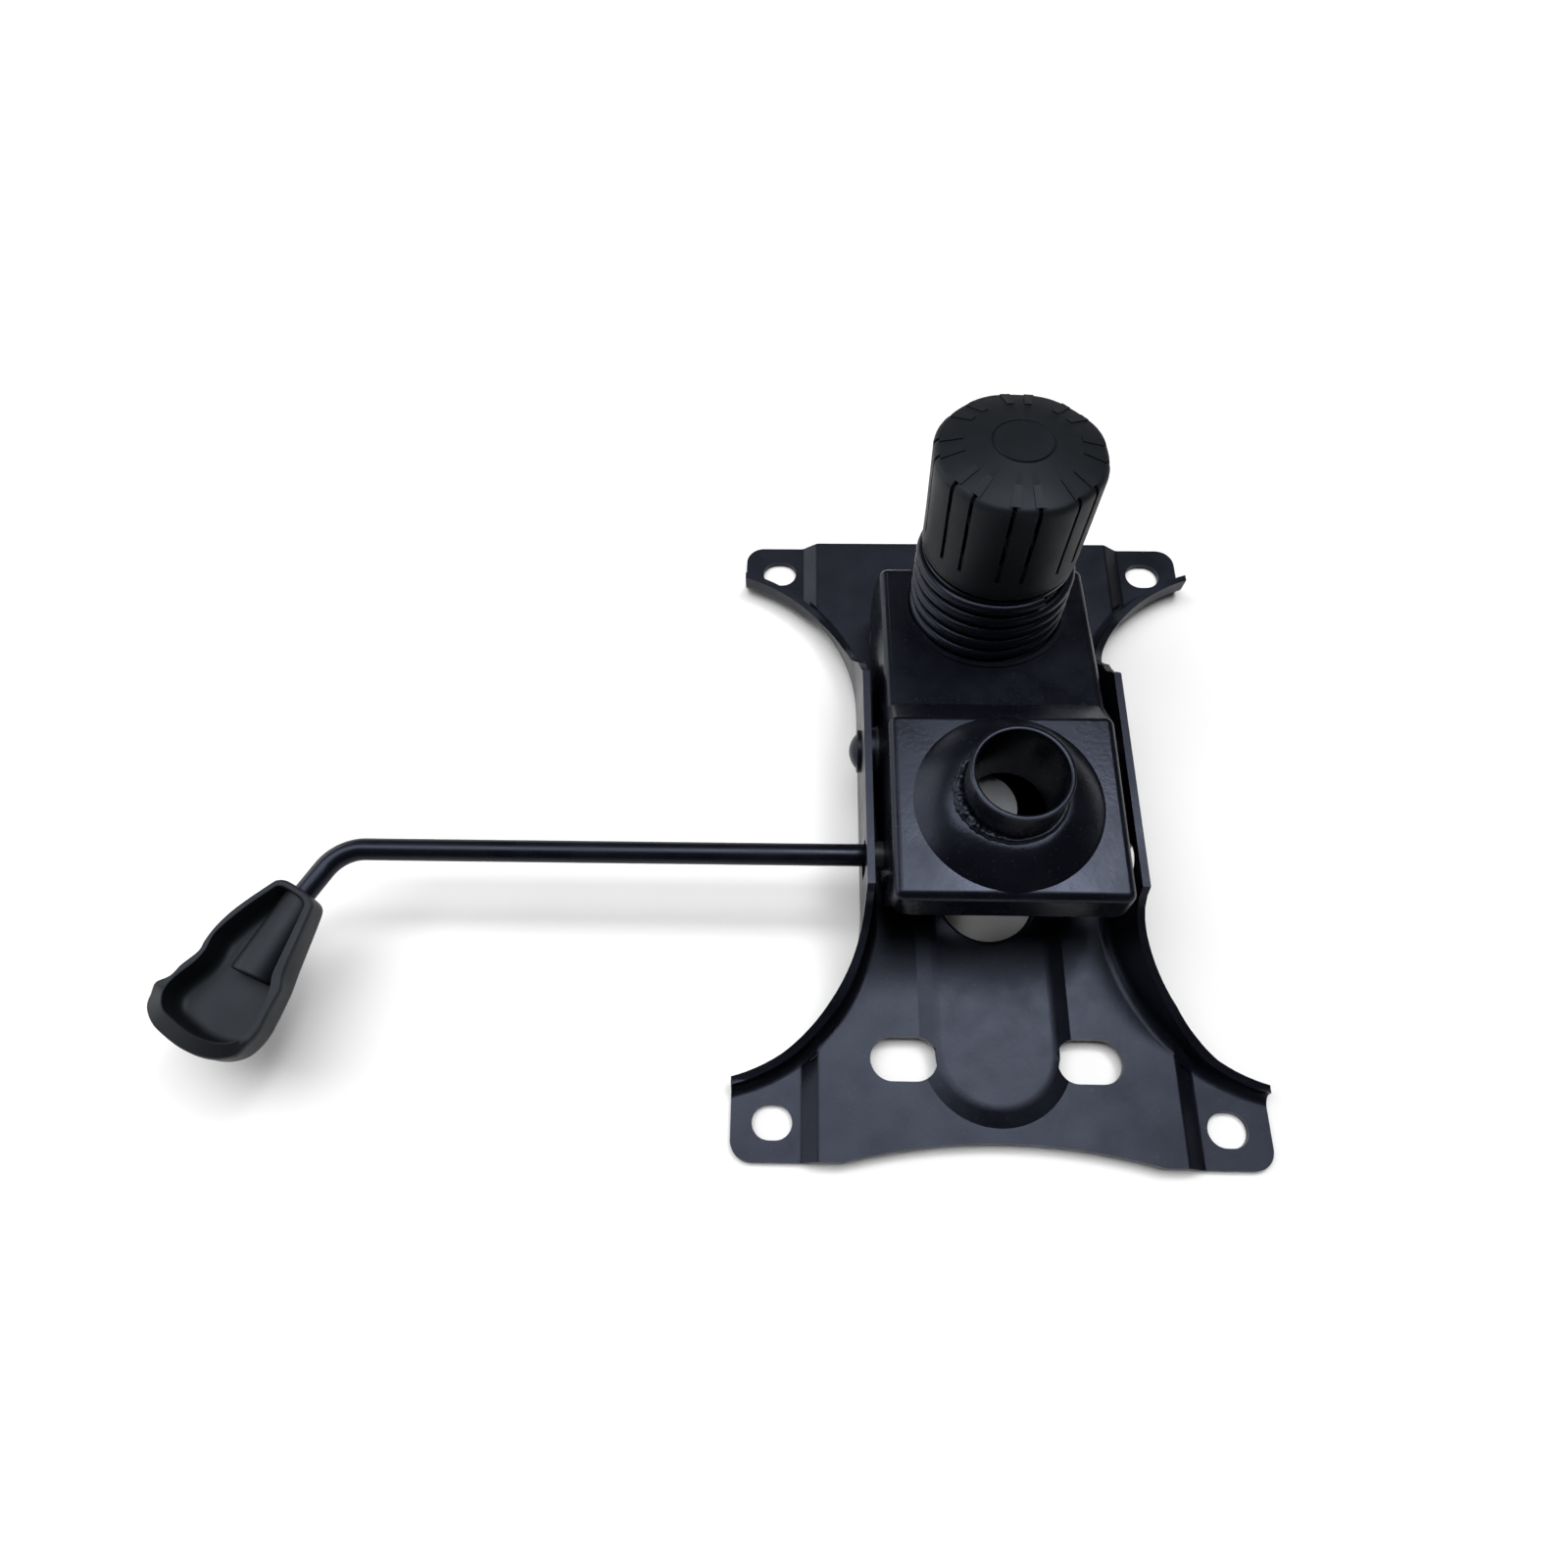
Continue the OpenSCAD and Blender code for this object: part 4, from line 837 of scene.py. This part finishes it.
class TILT_OT_stage(bpy.types.Operator):
    """Sets the floor, the light and the camera"""
    bl_idname = "tilt.stage"
    bl_label = "Stage"

    def execute(self, context):
        scene = context.scene
        s = scene.tilt_stage
        bare()
        bpy.ops.mesh.primitive_plane_add(size=6, location=(0, 0, -0.0002))
        floor = named("pale_floor")
        pale, _, _, shader, _ = new_material("pale_floor")
        shader.inputs["Base Color"].default_value = (0.70, 0.70, 0.70, 1)
        shader.inputs["Roughness"].default_value = 0.9
        paint(floor, pale)
        scene.world = scene.world or bpy.data.worlds.new("studio")
        scene.world.use_nodes = True
        sky = scene.world.node_tree.nodes["Background"]
        sky.inputs["Color"].default_value = (1, 1, 1, 1)
        sky.inputs["Strength"].default_value = 0.08
        for name, at, aim, size, power in (
                ("ceiling", (-0.35, 0.28, 2.0), (-0.35, 0.28, 0), (2.7, 1.15), 65),
                ("ceiling_far", (-0.6, 1.55, 2.0), (-0.6, 1.55, 0), (2.2, 1.2), 4),
                ("left", (-1.6, 0.55, 0.5), (0, 0.2, 0.03), (2.2, 0.9), 20),
                ("high", (0.26, 0.355, 1.157), (0, 0, 0.03), (0.26, 0.26), 3.4)):
            bare()
            bpy.ops.object.light_add(type="AREA", location=at)
            lamp = bpy.context.object
            lamp.name = name + "_light"
            lamp.data.shape = "RECTANGLE"
            lamp.data.size, lamp.data.size_y = size
            lamp.data.energy = power
            lamp.rotation_euler = (Vector(aim) - Vector(at)).to_track_quat("-Z", "Y").to_euler()
        forward = Vector((sin(s.yaw)*cos(s.pitch), cos(s.yaw)*cos(s.pitch), -sin(s.pitch)))
        right = Vector((cos(s.yaw), -sin(s.yaw), 0))
        up = right.cross(forward)
        side = cos(s.roll)*right + sin(s.roll)*up
        top = -sin(s.roll)*right + cos(s.roll)*up
        turn = Matrix((side, top, -forward)).transposed().to_4x4()
        bare()
        bpy.ops.object.camera_add()
        camera = bpy.context.object
        camera.matrix_world = Matrix.Translation(Vector(s.eye)) @ turn
        camera.data.sensor_width = 36
        camera.data.lens = s.lens
        camera.data.shift_x = 0.0140
        camera.data.clip_start = 0.01
        scene.camera = camera
        scene.view_settings.view_transform = "Standard"
        scene.view_settings.look = "None"
        return {"FINISHED"}


class TILT_PT_panel(bpy.types.Panel):
    """Lists the pieces and their sizes"""
    bl_idname = "TILT_PT_panel"
    bl_label = "Tilt mechanism"
    bl_space_type = "VIEW_3D"
    bl_region_type = "UI"
    bl_category = "Tilt mechanism"

    def draw(self, context):
        column = self.layout.column()
        for step in STEPS:
            column.operator("tilt." + step)
        for group, kind in GROUPS.items():
            box = self.layout.box()
            for prop in kind.__annotations__:
                box.prop(getattr(context.scene, group), prop)


STEPS = ("stage", "seat_plate", "housing", "socket", "spring", "knob", "lever_rod", "handle", "small_pieces")
GROUPS = {"tilt_paint": PaintSettings, "tilt_plastic": PlasticSettings, "tilt_spring": SpringSettings,
    "tilt_knob": KnobSettings, "tilt_stage": StageSettings}
CLASSES = (PaintSettings, PlasticSettings, SpringSettings, KnobSettings, StageSettings,
    TILT_OT_seat_plate, TILT_OT_housing, TILT_OT_socket, TILT_OT_spring, TILT_OT_knob, TILT_OT_lever_rod,
    TILT_OT_handle, TILT_OT_small_pieces, TILT_OT_stage, TILT_PT_panel)


# Registering and running
def register():
    for kind in CLASSES:
        bpy.utils.register_class(kind)
    for group, kind in GROUPS.items():
        setattr(bpy.types.Scene, group, bpy.props.PointerProperty(type=kind))


def unregister():
    for group in GROUPS:
        delattr(bpy.types.Scene, group)
    for kind in reversed(CLASSES):
        bpy.utils.unregister_class(kind)


def main():
    register()
    for step in STEPS:
        getattr(bpy.ops.tilt, step)()
    bpy.context.view_layer.update()


if __name__ == "__main__":
    main()
